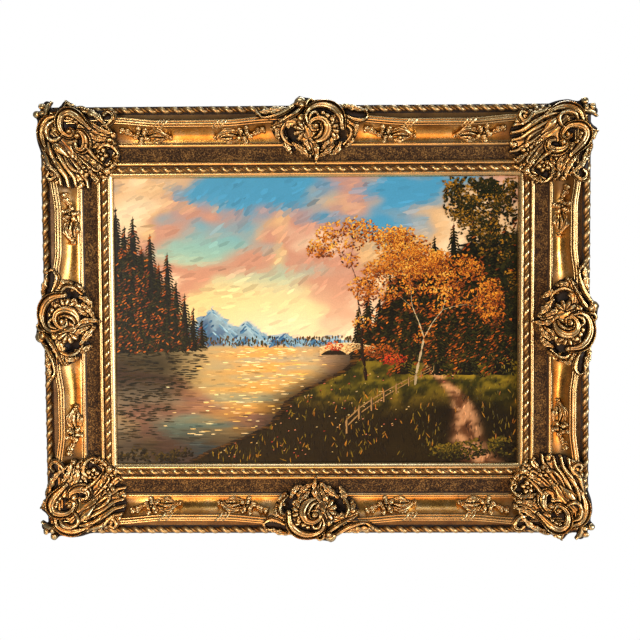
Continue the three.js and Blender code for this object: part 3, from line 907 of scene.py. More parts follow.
@dataclass
class Casting:
    """An ornament drawn once as forms over an outline, and cast as relief.

    Attributes:
        name: what the ornament is.
        outline: (x, u) corners of its edge.
        forms: the modelled forms, later ones over earlier ones.
        ground: (u, h) line of the casting's floor.
        holes: outlines of piercings.
        corner: whether the ground turns the frame's corner.
        bowls: (x, u, radius, depth) of hollows scooped into the floor.
        grid: spacing of the modelled surface.
        triangles: target number of triangles.
        sink: how far the underside sits in the moulding.
    """

    name: str
    outline: tuple[tuple[float, float], ...]
    forms: list[Form]
    ground: tuple[tuple[float, float], ...]
    holes: tuple = ()
    corner: bool = False
    bowls: tuple = ()
    grid: float = 0.6
    triangles: int = 60000
    sink: float = 1.0

    def cast(self, moulding: Moulding, finish: Material) -> Mesh:
        """Turn the relief into a closed mesh, in the drawing's millimetres.

        Args:
            moulding: what the casting lies on.
            finish: its material.

        Returns:
            The mesh, with the hollow and crest values that the gilding reads.
        """
        relief = Relief(self, moulding)
        mask, size = relief.mask, relief.mask.size
        cells = self.unpinched(mask[:-1, :-1] & mask[1:, :-1] & mask[:-1, 1:] & mask[1:, 1:])
        number = np.arange(size).reshape(mask.shape)
        a, b, c, d = number[:-1, :-1], number[1:, :-1], number[1:, 1:], number[:-1, 1:]
        over = np.stack([d[cells], c[cells], b[cells], a[cells]], axis=1)
        sides = self.border(over)
        walls = np.stack([sides[:, 1], sides[:, 0], sides[:, 0] + size, sides[:, 1] + size], axis=1)
        faces = np.concatenate([over, over[:, ::-1] + size, walls])
        flat = self.eased(np.stack([relief.x.ravel(), -relief.u.ravel()], axis=1), sides)
        points = np.concatenate([np.column_stack([flat, level.ravel()])
                                 for level in (relief.height, relief.under)])
        used, renumbered = np.unique(faces, return_inverse=True)
        piece = make_mesh(self.name, points[used], renumbered.reshape(faces.shape))
        slim = piece.modifiers.new("slim", "DECIMATE")
        slim.ratio = min(1.0, self.triangles / (len(faces) * 2))
        mesh = applied(piece).data
        relief.weather(mesh)
        bpy.data.objects.remove(piece)
        mesh.materials.append(finish)
        return mesh

    @staticmethod
    def unpinched(cells: Array) -> Array:
        """Fill cells until no two of them meet at a corner only.

        Args:
            cells: which cells are filled.

        Returns:
            The same with the pinches filled.
        """
        for _ in range(8):
            nw, ne, sw, se = cells[:-1, :-1], cells[:-1, 1:], cells[1:, :-1], cells[1:, 1:]
            falling = nw & se & ~ne & ~sw
            rising = ne & sw & ~nw & ~se
            if not (falling.any() or rising.any()):
                break
            cells = cells.copy()
            cells[:-1, 1:] |= falling
            cells[:-1, :-1] |= rising
        return cells

    @staticmethod
    def border(quads: Array) -> Array:
        """The directed edges that belong to one face only."""
        edges = np.concatenate([quads[:, [k, (k + 1) % 4]] for k in range(4)])
        size = int(edges.max()) + 1
        backward = edges[:, 1] * size + edges[:, 0]
        return edges[~np.isin(edges[:, 0] * size + edges[:, 1], backward)]

    @staticmethod
    def eased(flat: Array, sides: Array) -> Array:
        """Draw the stepped border of the grid into a smooth line.

        Args:
            flat: rows of (x, y), one per vertex.
            sides: the border's edges.

        Returns:
            The moved rows.
        """
        for _ in range(6):
            total, count = np.zeros_like(flat), np.zeros(len(flat))
            for one, other in ((0, 1), (1, 0)):
                np.add.at(total, sides[:, one], flat[sides[:, other]])
                np.add.at(count, sides[:, one], 1)
            on = count == 2
            flat = flat.copy()
            flat[on] = 0.4 * flat[on] + 0.6 * total[on] / 2
        return flat


class Relief:
    """The modelled surface of a casting, on a grid in the plane of its drawing.

    Attributes:
        x: x of the grid.
        u: u of the grid.
        floor: height of the casting's floor.
        height: height of the surface.
        under: height of the underside.
        mask: where there is casting.
    """

    # height of the underside beyond the moulding's edge, radius of the casting's rounded edge,
    # depth of the ground between the forms, and depth of the cut line round each form
    OVERHANG, ROUNDING, DEPTH, CUT = 36.0, 2.6, 3.6, 2.6

    def __init__(self, casting: "Casting", moulding: Moulding) -> None:
        """Model the surface.

        Args:
            casting: the drawing that it follows.
            moulding: what the casting lies on.
        """
        self.grid = casting.grid
        ring = rounded(np.array(casting.outline, float), 0.8, closed=True)
        reach = max(form.wide for form in casting.forms) / 2 + 2
        low, high = ring.min(axis=0) - reach, ring.max(axis=0) + reach
        lines = [np.arange(low[k], high[k], self.grid) for k in (0, 1)]
        x, u = self.x, self.u = np.meshgrid(*lines, indexing="ij")
        across = np.minimum(x, u) if casting.corner else u
        self.floor = np.interp(across, *np.array(casting.ground).T)
        self.mask, edge = self.inside(ring)
        for hole in casting.holes:
            gone, rim = self.inside(rounded(np.array(hole, float), 0.8, closed=True))
            self.mask &= ~gone
            edge = np.minimum(edge, rim)
        self.height = self.floor - self.DEPTH
        for bx, bu, radius, depth in casting.bowls:
            self.height -= depth * np.clip(1 - (np.hypot(x - bx, u - bu) / radius) ** 2, 0, 1)
        for form in casting.forms:
            self.lay(form)
        rounding = np.clip(1 - edge / self.ROUNDING, 0, 1)
        self.height -= 3.0 * (1 - np.sqrt(1 - rounding ** 2))
        self.height += 0.16 * np.sin(x * 0.31 + 1.3) * np.sin(u * 0.27 + 0.4)
        bed = moulding.top(np.clip(across, 0, 120)) - casting.sink
        self.under = np.where(across < 0.3, self.OVERHANG, bed)
        self.height = np.maximum(self.height, self.under + 0.8)

    def inside(self, ring: Array) -> tuple[Array, Array]:
        """Which grid points lie inside a ring, and their distance from it up to the rounding.

        Args:
            ring: rows of (x, u) round the edge.

        Returns:
            The mask and the distances.
        """
        x, u = self.x, self.u
        mask = np.zeros(x.shape, bool)
        edge = np.full(x.shape, 99.0)
        for (ax, au), (bx, bu) in zip(ring, np.roll(ring, -1, axis=0)):
            if au != bu:
                crossed = (au > u[0]) != (bu > u[0])
                at = (bx - ax) * (u[0] - au) / (bu - au) + ax
                mask ^= crossed[None, :] & (x < at[None, :])
            near = self.window(min(ax, bx) - 3, max(ax, bx) + 3, min(au, bu) - 3, max(au, bu) + 3)
            edge[near] = np.minimum(edge[near], np.hypot(x[near] - ax, u[near] - au))
        return mask, edge

    def window(self, x0: float, x1: float, u0: float, u1: float) -> tuple[slice, slice]:
        """The block of the grid that covers a rectangle."""
        spans = ((x0, x1, self.x[0, 0]), (u0, u1, self.u[0, 0]))
        cells = [((a - origin) / self.grid, (b - origin) / self.grid) for a, b, origin in spans]
        return tuple(slice(max(0, int(first)), max(0, int(last) + 2)) for first, last in cells)

    def lay(self, form: Form) -> None:
        """Lay one form on the surface, with a cut line round it.

        Args:
            form: what is laid.
        """
        spine = rounded(np.array(form.path, float), 0.9)
        span = np.gradient(spine, axis=0)
        span /= np.hypot(span[:, 0], span[:, 1])[:, None]
        margin = form.wide * 0.65 + 3
        (x0, u0), (x1, u1) = spine.min(axis=0) - margin, spine.max(axis=0) + margin
        block = self.window(x0, x1, u0, u1)
        px, pu, floor, old = (grid[block].ravel() for grid in (self.x, self.u, self.floor, self.height))
        nearest = ((px[:, None] - spine[:, 0]) ** 2 + (pu[:, None] - spine[:, 1]) ** 2).argmin(axis=1)
        dx, du = px - spine[nearest, 0], pu - spine[nearest, 1]
        ahead = dx * span[nearest, 0] + du * span[nearest, 1]
        offset = dx * span[nearest, 1] - du * span[nearest, 0]
        travel = nearest / max(1, len(spine) - 1)
        run = nearest * 0.9 + ahead
        size = np.where(travel < form.swell,
                        form.start + (1 - form.start) * smooth(0, form.swell, travel),
                        form.end + (1 - form.end) * smooth(1, form.swell, travel))
        half = form.wide / 2 * size
        if form.section is Section.BLADE:
            half = half * (0.9 + 0.2 * np.cos(2 * np.pi * run / form.ring))
        q = np.hypot(offset, np.maximum(0, np.abs(ahead) - 0.5)) / half
        made = floor - 1.5 + form.rise * (0.45 + 0.55 * size) * self.shape(
            form, q, np.clip(offset / half, -1, 1), run, travel)
        outside = (q - 1) * half
        cut = self.CUT * np.clip(1 - outside / 1.7, 0, 1) * (outside > 0)
        shape = self.height[block].shape
        self.height[block] = np.where(q < 1, np.maximum(old, made), old - cut).reshape(shape)
        self.mask[block] |= (q < 0.97).reshape(shape)

    @staticmethod
    def shape(form: Form, q: Array, side: Array, run: Array, travel: Array) -> Array:
        """Height share of a cross-section, from 0 at its edge to 1 at its crest.

        Args:
            form: the form.
            q: distance from its spine, 1 at its edge.
            side: the same across only, from -1 to 1.
            run: distance along it.
            travel: the same as a share of its length.

        Returns:
            One share per grid point.
        """
        dome = np.sqrt(np.clip(1 - q ** 2, 0, 1))
        if form.section is Section.SCROLL:
            across = side * form.rim
            rim = 0.95 * np.sqrt(np.clip(1 - ((across - 0.82) / 0.18) ** 2, 0, 1))
            body = np.sqrt(np.clip(1 - ((across + 0.2) / 0.8) ** 2, 0, 1)) * (0.86 - 0.16 * across)
            body -= 0.2 * np.exp(-((across + 0.35) / 0.22) ** 2)
            return np.maximum(np.maximum(rim, body), 0.25) * np.clip(dome * 3, 0, 1)
        if form.section is Section.BLADE:
            flute = 0.13 * np.cos(2 * np.pi * (run - 0.45 * np.abs(side) * form.wide) / form.ring)
            strand = 0.1 * np.cos(2 * np.pi * np.abs(side) * 2.1)
            vein = 0.26 * np.exp(-(side / 0.1) ** 2) * (1 - 0.5 * travel)
            body = 0.78 + (flute - strand) * np.clip(np.abs(side) * 1.8, 0, 1) + 0.2 * travel
            return dome ** 0.7 * body - vein
        if form.section is Section.FLUTED:
            return dome * (0.8 + 0.2 * np.cos(2 * np.pi * run / form.ring))
        return dome

    def weather(self, mesh: Mesh) -> None:
        """Store the painted shade, over umber wash, in the hollows, on the sunk ground and down the
        sides, and the painted highlight on the crests.

        Args:
            mesh: the casting.
        """
        height, span = self.height, self.height.shape
        wide, fine = blurred(height, 4.2 / self.grid), blurred(height, 1.3 / self.grid)
        # painted shade in the hollows, over their umber wash, and on the ground sunk between the forms
        hollow = np.clip((wide - height) / 3.0, 0, 1) * 0.7 + np.clip((fine - height) / 0.8, 0, 1) * 0.5
        hollow = np.maximum(hollow, np.clip((self.floor - 0.5 - height) / 3.0, 0, 0.62))
        # painted highlight on the crests
        crest = np.clip((height - fine) / 0.6, 0, 1) * 0.7 + np.clip((height - wide) / 6.0, 0, 1) * 0.3
        points = mesh_points(mesh)
        places = (points[:, 0] - self.x[0, 0], -points[:, 1] - self.u[0, 0])
        i, j = (np.clip(np.round(at / self.grid).astype(int), 0, last - 1)
                for at, last in zip(places, span))
        # painted shade down the sides and underside, below the modelled surface
        low = np.clip((height[i, j] - points[:, 2]) / 3.0, 0, 1)
        set_value(mesh, "hollow", np.clip(np.maximum(hollow[i, j], low), 0, 1))
        set_value(mesh, "crest", np.clip(crest[i, j] - low, 0, 1))
        mesh.set_sharp_from_angle(angle=math.radians(62))


def blurred(values: Array, radius: float) -> Array:
    """Blur a grid with a bell-shaped weight of the given radius in cells.

    Args:
        values: the grid.
        radius: the weight's radius.

    Returns:
        The blurred grid.
    """
    reach = int(radius * 2.5) + 1
    weight = np.exp(-0.5 * (np.arange(-reach, reach + 1) / radius) ** 2)
    weight /= weight.sum()
    for axis in (0, 1):
        padded = np.pad(values, [(reach, reach) if k == axis else (0, 0) for k in (0, 1)], mode="edge")
        values = np.apply_along_axis(lambda row: np.convolve(row, weight, mode="valid"), axis, padded)
    return values


def placed_copy(mesh: Mesh, name: str, side: Side, along: float,
                mirror: bool = False, inward: float = 0.0) -> Object:
    """Set a copy of a casting on its side of the frame.

    Args:
        mesh: the casting in drawing millimetres.
        name: name of the new piece; after gilt_ it names the node that it replaces.
        side: the side of the frame.
        along: where the drawing's x = 0 lies along the side.
        mirror: whether the casting faces the other way along the side.
        inward: how far it is moved in towards the picture.

    Returns:
        The piece.
    """
    copy = mesh.copy()
    copy.name = name
    drawn = mesh_points(copy) * np.array([-1 if mirror else 1, 1, 1]) - np.array([0, inward, 0])
    if mirror:
        copy.flip_normals()
    copy.vertices.foreach_set("co", side.place(drawn, along).ravel())
    copy.update()
    piece = set_out(name, copy)
    if name.startswith("gilt_"):
        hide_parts(name.removeprefix("gilt_"))
    return piece


# ---- the corner casting ----
# (u, h) of the floor that the corner and centre castings' forms stand on
CASTING_GROUND = ((-14, 41), (0, 46), (18, 54), (36, 52), (60, 40), (78, 33.5), (140, 33.5))
SCROLL, FLUTED = Section.SCROLL, Section.FLUTED


@dataclass
class CornerOrnament:
    """A great scroll, a comma scroll and an edge scroll over acanthus leaves, curls and flowers."""

    def drawing(self) -> Casting:
        """Draw the casting for the top left corner; x runs along the top, u down the left side.

        Returns:
            The casting.
        """
        outline = (
            (-10, 14), (-5, 7), (3, 6), (6, -4), (12, -10), (19, -8), (21, 2), (29, 4), (37, -2),
            (43, -10),
            (51, -8), (60, -1), (76, 1), (96, 6), (118, 9), (128, 17), (127, 28), (119, 36), (128, 45),
            (126, 56), (131, 63), (129, 70), (135, 79), (134, 91), (127, 100), (117, 106), (114, 116),
            (104, 114), (99, 127), (91, 129), (86, 122), (82, 138), (75, 137), (68, 124), (62, 132),
            (50, 137), (38, 133), (33, 120), (22, 127), (11, 121), (13, 108), (7, 94), (2, 76),
            (-4, 58),
            (-6, 40), (-3, 24),
        )
        leaves = [
            *leaf(((10, 58), (20, 88), (32, 122)), 30, 5, 8),
            *leaf(((28, 46), (48, 68), (66, 92)), 38, 6, 5),
            *leaf(((72, 30), (94, 46), (120, 60)), 36, 5, 7),
            *leaf(((66, 72), (86, 92), (108, 110)), 38, 5, 7),
            *leaf(((44, 84), (58, 106), (68, 130)), 26, 5, 6),
            *leaf(((62, 86), (75, 99), (86, 111), (94, 127)), 12, 7, 3),
            Form(((12, 64), (14, 82), (20, 100), (33, 114), (38, 131)), 9, 8.5, 0.5, 0.55),
            Form(((20, 70), (27, 88), (37, 104), (46, 118), (50, 134)), 9.5, 9.5, 0.4, 0.55),
            Form(((29, 72), (40, 90), (50, 106), (58, 119), (61, 132)), 9, 9, 0.4, 0.55),
            Form(((44, 84), (50, 96), (58, 106), (68, 109), (73, 103), (69, 98)),
                 7, 10, 0.4, 0.7),
            Form(((54, 88), (64, 101), (72, 114), (78, 124), (80, 135)), 8.5, 8.5, 0.4, 0.55),
            Form(((66, 84), (76, 94), (86, 103), (96, 108), (101, 102)), 6.5, 9, 0.4, 0.7),
            *leaf(((60, 5), (78, 8), (95, 14), (108, 24), (120, 40)), 12, 8, 6),
            *leaf(((84, 24), (97, 34), (111, 42), (128, 47)), 10, 7, 5),
            *leaf(((80, 42), (93, 52), (106, 55), (124, 58)), 12, 8, 5),
            *leaf(((84, 70), (96, 66), (108, 64), (118, 66)), 9, 7, 3),
            *leaf(((84, 92), (96, 98), (106, 106), (112, 114)), 10, 7, 3),
            *leaf(((66, 6), (57, -1), (47, -8)), 10, 7, 3),
        ]
        cluster = [
            *flower(104, 80, 9.5, 5, 8.5, 10), *flower(78, 107, 9, 5, 8.5, 20),
            *flower(122, 62, 6, 4, 8), *fan(120, 88, 3, 12, -60, 120, 6, 5, 7.5),
            Form(((100, 70), (110, 64), (124, 67), (132, 78), (130, 88)),
                 8, 8.5, 0.5, 0.5, SCROLL, rim=1),
            Form(((128, 92), (122, 102), (112, 106), (104, 102)), 8, 8, 0.5, 0.5, SCROLL, rim=1),
            ball(112, 108, 6, 9), ball(119, 57, 4, 9), ball(126, 50, 3.5, 7),
            Form(((86, 112), (94, 116), (98, 124), (93, 129)), 7, 8, 0.6, 0.6, SCROLL, rim=1),
            Form(((110, 34), (121, 31), (129, 22), (127, 13), (118, 10), (113, 15)),
                 8.5, 9, 0.4, 0.7, SCROLL, rim=-1),
        ]
        edge = [
            Form(((14, 14), (15, 2), (22, -7)), 10, 9, 0.7, 0.5),
            ball(7, 0, 5.5, 8), ball(-3, 13, 6, 8), ball(8, 12, 4.5, 9),
            Form(((24, 12), (34, 11), (43, 4), (47, -7)), 6, 8, 0.7, 0.4, SCROLL, rim=1),
            Form(((20, 104), (29, 108), (31, 118), (22, 124), (14, 119), (17, 112)),
                 8.5, 8, 0.5, 0.7, SCROLL, rim=1),
            Form(((60, 2), (74, 2), (90, 7)), 6, 7, section=FLUTED, ring=5),
        ]
        scrolls = [
            Form(((26, 60), (32, 66), (42, 76), (50, 84)), 15, 11, 0.5, 0.35),
            Form(((19, 62), (21, 74), (27, 88), (38, 102)), 9, 10, 0.5, 0.2, swell=0.3),
            Form(((30, 17), (16, 22), (8, 34), (6, 50), (10, 64), (19, 80)), 17, 12, 0.4, 0.3, SCROLL),
            Form(((31, 26), (21, 31), (16, 43), (20, 55)), 9, 13, 0.4, 0.8),
            Form(((18, 52), (26, 58), (36, 55), (43, 47)), 8, 12.5, 0.8, 0.35, swell=0.35),
            ball(53, 20, 4, 7), ball(60, 22, 4, 7.5), ball(66, 27, 3.5, 8),
            Form(((60, 50), (65, 44), (74, 44), (80, 53), (80, 65), (72, 73), (63, 71), (61, 64)),
                 18, 12.5, 0.3, 0.4, SCROLL, swell=0.55, rim=1),
            Form(((79, 66), (86, 77), (96, 88), (108, 98)), 8, 10, 0.8, 0.25, swell=0.25),
            Form(((88, 36), (77, 24), (66, 14), (54, 9), (43, 13), (37, 25), (38, 39), (45, 48),
                  (55, 51), (61, 45), (57, 39), (51, 42)),
                 17, 14, 0.55, 0.35, SCROLL, swell=0.25),
            ball(66, 50, 4.5, 12), ball(54, 43, 3.5, 14),
        ]
        return Casting("corner_ornament", outline, [*leaves, *cluster, *edge, *scrolls], CASTING_GROUND,
                       corner=True, bowls=((56, 31, 11, 5.0), (31, 40, 8, 4.0)), triangles=56000)

    def build(self, moulding: Moulding, finish: Material) -> list[Object]:
        """Cast the ornament and set one on each corner."""
        mesh = self.drawing().cast(moulding, finish)
        places = ("top_left", "top_right", "bottom_right", "bottom_left")
        return [placed_copy(mesh, f"gilt_corner_{place}", side, -side.length / 2)
                for side, place in zip(Side, places)]


# ---- the centre casting ----
@dataclass
class CentreOrnament:
    """A rising scroll, an arch over a spiral, two piercings and a fringe of leaves."""

    def drawing(self) -> Casting:
        """Draw the casting for the top side, with x = 0 at the side's middle.

        Returns:
            The casting.
        """
        outline = (
            (-33, -6), (-26, -15), (-17, -13), (-9, -12), (4, -9), (20, -7), (33, -1), (43, 6), (56, 6),
            (68, 11), (82, 8), (90, 17), (86, 29), (74, 34), (73, 46), (69, 56), (60, 62), (58, 71),
            (47, 71), (43, 80), (33, 84), (23, 80), (12, 87), (6, 88), (2, 97), (-3, 88), (-12, 85),
            (-23, 80), (-32, 74), (-38, 82), (-46, 76), (-52, 65), (-62, 59), (-69, 50), (-73, 38),
            (-69, 30), (-80, 25), (-94, 22), (-98, 13), (-86, 7), (-70, 8), (-52, 2), (-40, 2),
        )
        holes = (
            ((-48, 41), (-40, 37), (-30, 37), (-33, 46), (-29, 53), (-34, 59), (-42, 58)),
            ((42, 39), (51, 39), (57, 46), (54, 54), (44, 61), (36, 59), (40, 50)),
        )
        fringe = [
            *leaf(((-4, 78), (-12, 54), (-22, 26)), 34, 6, 5),
            *leaf(((14, 76), (26, 54), (34, 24)), 30, 6, 5),
            *leaf(((-20, 34), (-44, 30), (-66, 40)), 22, 5, 5),
            *leaf(((30, 28), (50, 28), (70, 36)), 20, 5, 5),
            *leaf(((-52, 40), (-62, 46), (-60, 56)), 12, 7, 3),
            *leaf(((-52, 32), (-64, 34), (-71, 41)), 10, 6, 3),
            *leaf(((60, 32), (70, 38), (68, 50)), 12, 7, 3),
            *leaf(((56, 52), (62, 60), (54, 70)), 11, 7, 3),
            *leaf(((-48, 56), (-47, 68), (-40, 79)), 13, 7.5, 3),
            *leaf(((-36, 64), (-24, 73), (-8, 85)), 14, 8, 4),
            *leaf(((44, 64), (38, 76), (28, 82)), 13, 8, 3),
            *leaf(((32, 68), (22, 77), (9, 85)), 13, 8, 3),
            *leaf(((-22, 52), (-14, 64), (-7, 78)), 10, 7.5, 3),
            *leaf(((26, 52), (20, 64), (12, 76)), 10, 7.5, 3),
            *fan(-16, 44, 3, 16, 130, 235, 4, 8, 8), *fan(24, 42, 3, 15, -60, 50, 4, 7.5, 8),
            Form(((-50, 34), (-54, 46), (-50, 58), (-40, 66)), 7, 8.5, 0.6, 0.5, SCROLL, rim=1),
            Form(((52, 34), (62, 42), (61, 54), (50, 66)), 7, 8.5, 0.6, 0.5, SCROLL, rim=1),
            *leaf(((40, 2), (58, 4), (74, 9), (86, 11)), 12, 8, 5),
            *leaf(((-40, 6), (-58, 9), (-76, 11), (-95, 14)), 14, 7, 5),
        ]
        scrolls = [
            Form(((50, 18), (66, 27), (80, 29), (90, 22), (88, 12)), 9, 9, 0.4, 0.4, SCROLL, rim=-1),
            Form(((-30, -2), (-48, 12), (-66, 20), (-84, 23), (-94, 16)),
                 9, 9, 0.8, 0.5, SCROLL, swell=0.2, rim=1),
            Form(((-70, 36), (-52, 28), (-34, 18), (-22, 8), (-16, -2)),
                 8, 12, 0.3, 0.8, SCROLL, swell=0.7),
            ball(-24, -4, 9, 10), ball(-21, 2, 5, 13),
            Form(((-13, 8), (-12, -4), (-5, -9), (0, -5)), 6, 8, 0.5, 0.8),
            Form(((2, -6), (14, -6), (26, -2)), 6, 7, 0.8, 0.4, FLUTED, 6),
            Form(((-10, 34), (-14, 20), (-8, 7), (6, 0), (22, 0), (37, 8), (46, 22), (48, 38)),
                 17, 14, 0.35, 0.6, SCROLL, swell=0.7, rim=1),
            Form(((-8, 25), (-4, 16), (3, 14), (7, 19)), 6.5, 10, 0.6, 0.8),
            ball(22, 20, 4.5, 7),
            ball(30, 26, 4, 7.5), ball(15, 15, 3.5, 7),
            Form(((-2, 62), (10, 58), (18, 50), (21, 40), (16, 29), (5, 26), (-5, 32), (-3, 42),
                  (5, 42)),
                 18, 13, 0.3, 0.3, SCROLL, swell=0.3, rim=1),
            ball(3, 37, 4.5, 14),
            Form(((0, 56), (8, 52), (13, 42), (11, 35)), 7, 12.5, 0.5, 0.4),
            *leaf(((-6, 58), (2, 68), (4, 80), (2, 96)), 11, 10, 3),
        ]
        return Casting("centre_ornament", outline, [*fringe, *scrolls], CASTING_GROUND, holes=holes,
                       bowls=((22, 22, 12, 5.0),), triangles=46000)

    def build(self, moulding: Moulding, finish: Material) -> list[Object]:
        """Cast the ornament and set one in the middle of each side."""
        mesh = self.drawing().cast(moulding, finish)
        return [placed_copy(mesh, f"gilt_centre_{side.word}", side, 0.0) for side in Side]


# ---- the sprays ----
@dataclass
class FlowerSprays:
    """Small castings in the cove: a flower, two broad leaves and a stem with a bud.

    Attributes:
        start: distance of a spray's flower from the side's start.
        end: distance of a spray's flower from the side's end.
        centre: distance from the middle on the long sides.
    """

    start: float = 172.0
    end: float = 180.0
    centre: float = 119.0

    def drawing(self) -> Casting:
        """Draw the spray with x = 0 at its flower and its leaves towards +x.

        Returns:
            The casting.
        """
        outline = (
            (13, 46), (24, 40), (37, 42), (50, 51), (38, 58), (13, 56), (6, 63), (-3, 61), (-7, 53),
            (-36, 47), (-35, 38), (-17, 42), (-11, 36), (-3, 37), (2, 41), (8, 36), (15, 39),
        )
        ground = ((30, 47), (36, 42), (42, 35.5), (50, 31), (58, 29.5), (70, 31))
        forms = [
            *leaf(((8, 55), (20, 59), (31, 57), (40, 53)), 12, 8, 2),
            *leaf(((6, 46), (20, 43), (34, 46), (49, 53)), 15, 10, 2),
            Form(((14, 51), (26, 49), (38, 51)), 6, 10.5, 0.6, 0.4),
            Form(((-6, 50), (-18, 48), (-30, 42)), 5.5, 7.5, 0.8, 0.6),
            *leaf(((-14, 48), (-23, 43), (-34, 44)), 11, 8, 2), ball(-32, 41, 4.5, 9),
            *(Form(((4 * math.cos(a), 49 + 4 * math.sin(a)), (10 * math.cos(a), 49 + 11 * math.sin(a))),
                   11, 9.5, 0.7, 0.9, swell=0.6) for a in np.radians((100, 28, 244, 316, 172))),
            *flower(0, 49, 6.5, 3, 12, -30),
        ]
        return Casting("flower_spray", outline, forms, ground, grid=0.5, triangles=9000, sink=4.0)

    def build(self, moulding: Moulding, finish: Material) -> list[Object]:
        """Cast the spray and set four on each long side and two on each short side.

        Args:
            moulding: what it lies on.
            finish: its material.

        Returns:
            The twelve pieces.
        """
        mesh = self.drawing().cast(moulding, finish)
        pieces = []
        for side in Side:
            half = side.length / 2
            places = {"start": (self.start - half, False), "end": (half - self.end, True)}
            if not side.upright:
                places.update(before_centre=(-self.centre, True), after_centre=(self.centre, False))
            pieces += [placed_copy(mesh, f"gilt_spray_{side.word}_{place}", side, along, mirror)
                       for place, (along, mirror) in places.items()]
        return pieces


# ---- the frame's rails ----
@dataclass
class Rails:
    """The four mouldings with their two ropes each, and ribbon ties round the long sides' reeds.

    Attributes:
        moulding: the profile that the sides share.
        ties: where the ties lie along a long side.
        seats: length, height, depth and drop of a hanger's seat, and of the nail pocket behind it.
        outer_rope: the rope on the outer edge.
        inner_cord: the thinner rope by the sight edge.
    """

    moulding: Moulding
    ties: tuple[float, ...] = (-258.0, -158.0, 162.0, 260.0)
    seats: tuple[tuple[float, ...], ...] = ((48.0, 11.0, 1.6, 0.0), (30.0, 16.0, 6.5, -3.0))
    outer_rope: Rope = Rope(u=6.6, h=35.0, pitch=21.7, ply=4.1, second=1.9, lay=2.3, tone=0.2)
    inner_cord: Rope = Rope(u=105.9, h=26.2, pitch=19.8, ply=3.3, second=1.4, lay=1.7, steps_per_turn=12)

    def tie(self) -> Casting:
        """Draw a ribbon wound aslant round the reeds, with x = 0 at its middle.

        Returns:
            The casting.
        """
        wraps = [Form(((at - 6, 31), (at, 24.5), (at + 6, 18)), 5.5, 4.2, 0.9, 0.9)
                 for at in (-6, 0, 6)]
        outline = ((-12, 31), (-6, 31), (9, 18), (12, 18), (6, 18), (-9, 31))
        ground = ((16, 40), (18, 44), (20, 46.6), (24, 48.6), (28, 46.6), (31, 43), (33, 41))
        return Casting("ribbon_tie", outline, wraps, ground, grid=0.5, triangles=1400, sink=3.0)

    def let_in(self, body: Object) -> None:
        """Cut the hangers' seats and the nail pockets into the back of the top rail.

        Args:
            body: the top rail.
        """
        corners = np.array([(x, y, z) for x in (-1, 1) for y in (-1, 1) for z in (-1, 1)])
        faces = [(0, 1, 3, 2), (4, 6, 7, 5), (0, 4, 5, 1), (2, 3, 7, 6), (0, 2, 6, 4), (1, 5, 7, 3)]
        for hanger in ("hanger_left", "hanger_right"):
            across = float(sum(node_box(hanger))[0]) / 2
            for long, high, deep, drop in self.seats:
                place = np.array([across, 0, drop]) + corners * np.array([long / 2, deep, high / 2])
                cutter = make_mesh("seat_cutter", place * MM, faces)
                cutter.data.polygons.foreach_set("material_index", [Band.WOOD.value] * len(faces))
                cut = body.modifiers.new("seat", "BOOLEAN")
                cut.operation, cut.solver, cut.object = "DIFFERENCE", "EXACT", cutter
                applied(body)
                bpy.data.objects.remove(cutter)
        body.data.set_sharp_from_angle(angle=math.radians(50))

    def build(self, gilt: Material, panel: Material, level: Material,
              upright: Material) -> list[Object]:
        """Build each side's moulding with its ropes as one piece.

        Args:
            gilt: finish of the mouldings and ropes.
            panel: finish of the sanded band.
            level: bare wood of the rails' backs, with its grain across.
            upright: the same with its grain upright, for the stiles.

        Returns:
            The four pieces, clockwise from the top.
        """
        tree = RopeTree()
        tie = self.tie().cast(self.moulding, gilt)
        pieces = []
        for side in Side:
            body = self.moulding.build(side)
            for finish in (gilt, panel, upright if side.upright else level):
                body.data.materials.append(finish)
            if side is Side.TOP:
                self.let_in(body)
            added = [tree.lay(rope, side, gilt) for rope in (self.outer_rope, self.inner_cord)]
            for at in () if side.upright else self.ties:
                bow = self.moulding.bow(np.array(at), side.length)
                added.append(placed_copy(tie, f"tie_{side.word}", side, at, inward=float(bow)))
            piece = joined(f"gilt_moulding_{side.word}", [body, *added])
            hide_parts(side.rail)
            pieces.append(piece)
        return pieces


# ---- the painting ----
def lattice_noise(x: Array, z: Array, size: float, seed: int, octaves: int = 4) -> Array:
    """Cloudy noise from 0 to 1 in the plane of the picture.

    Args:
        x: places across, in millimetres.
        z: places up, in millimetres.
        size: width of the largest blotches.
        seed: which pattern.
        octaves: how many finer layers are added.

    Returns:
        One number per place.
    """
    total, weight = np.zeros(np.shape(x)), 0.0
    for octave in range(octaves):
        table = np.random.default_rng(seed + octave).random((128, 128))
        fx, fz = x / size * 2 ** octave + 900.5, z / size * 2 ** octave + 700.5
        ix, iz = np.floor(fx).astype(int), np.floor(fz).astype(int)
        sx, sz = smooth(0, 1, fx - ix), smooth(0, 1, fz - iz)
        rows = [table[(ix + k) % 128, iz % 128] * (1 - sz) + table[(ix + k) % 128, (iz + 1) % 128] * sz
                for k in (0, 1)]
        total += (rows[0] * (1 - sx) + rows[1] * sx) * 0.5 ** octave
        weight += 0.5 ** octave
    return total / weight


def tints(*codes: str) -> Array:
    """Rows of linear colours from hex codes."""
    return np.array([linear(code)[:3] for code in codes])


def blend(low: Array | str, high: Array | str, share: Array) -> Array:
    """Mix two colours or rows of colours by a share per row; a hex code stands for one colour."""
    low, high = (tints(colour)[0] if isinstance(colour, str) else colour for colour in (low, high))
    return low + (high - low) * np.asarray(share)[..., None]


class Sky(str, Enum):
    """The colours of the sky, from the zenith to the horizon, and of its clouds, as hex codes."""

    ZENITH = "#4f9fc6"
    TEAL = "#9cc6ba"
    HAZE = "#ead89c"
    CLOUD = "#dcba86"
    BLUSH = "#cb9a82"
    CREAM = "#f8ebc8"


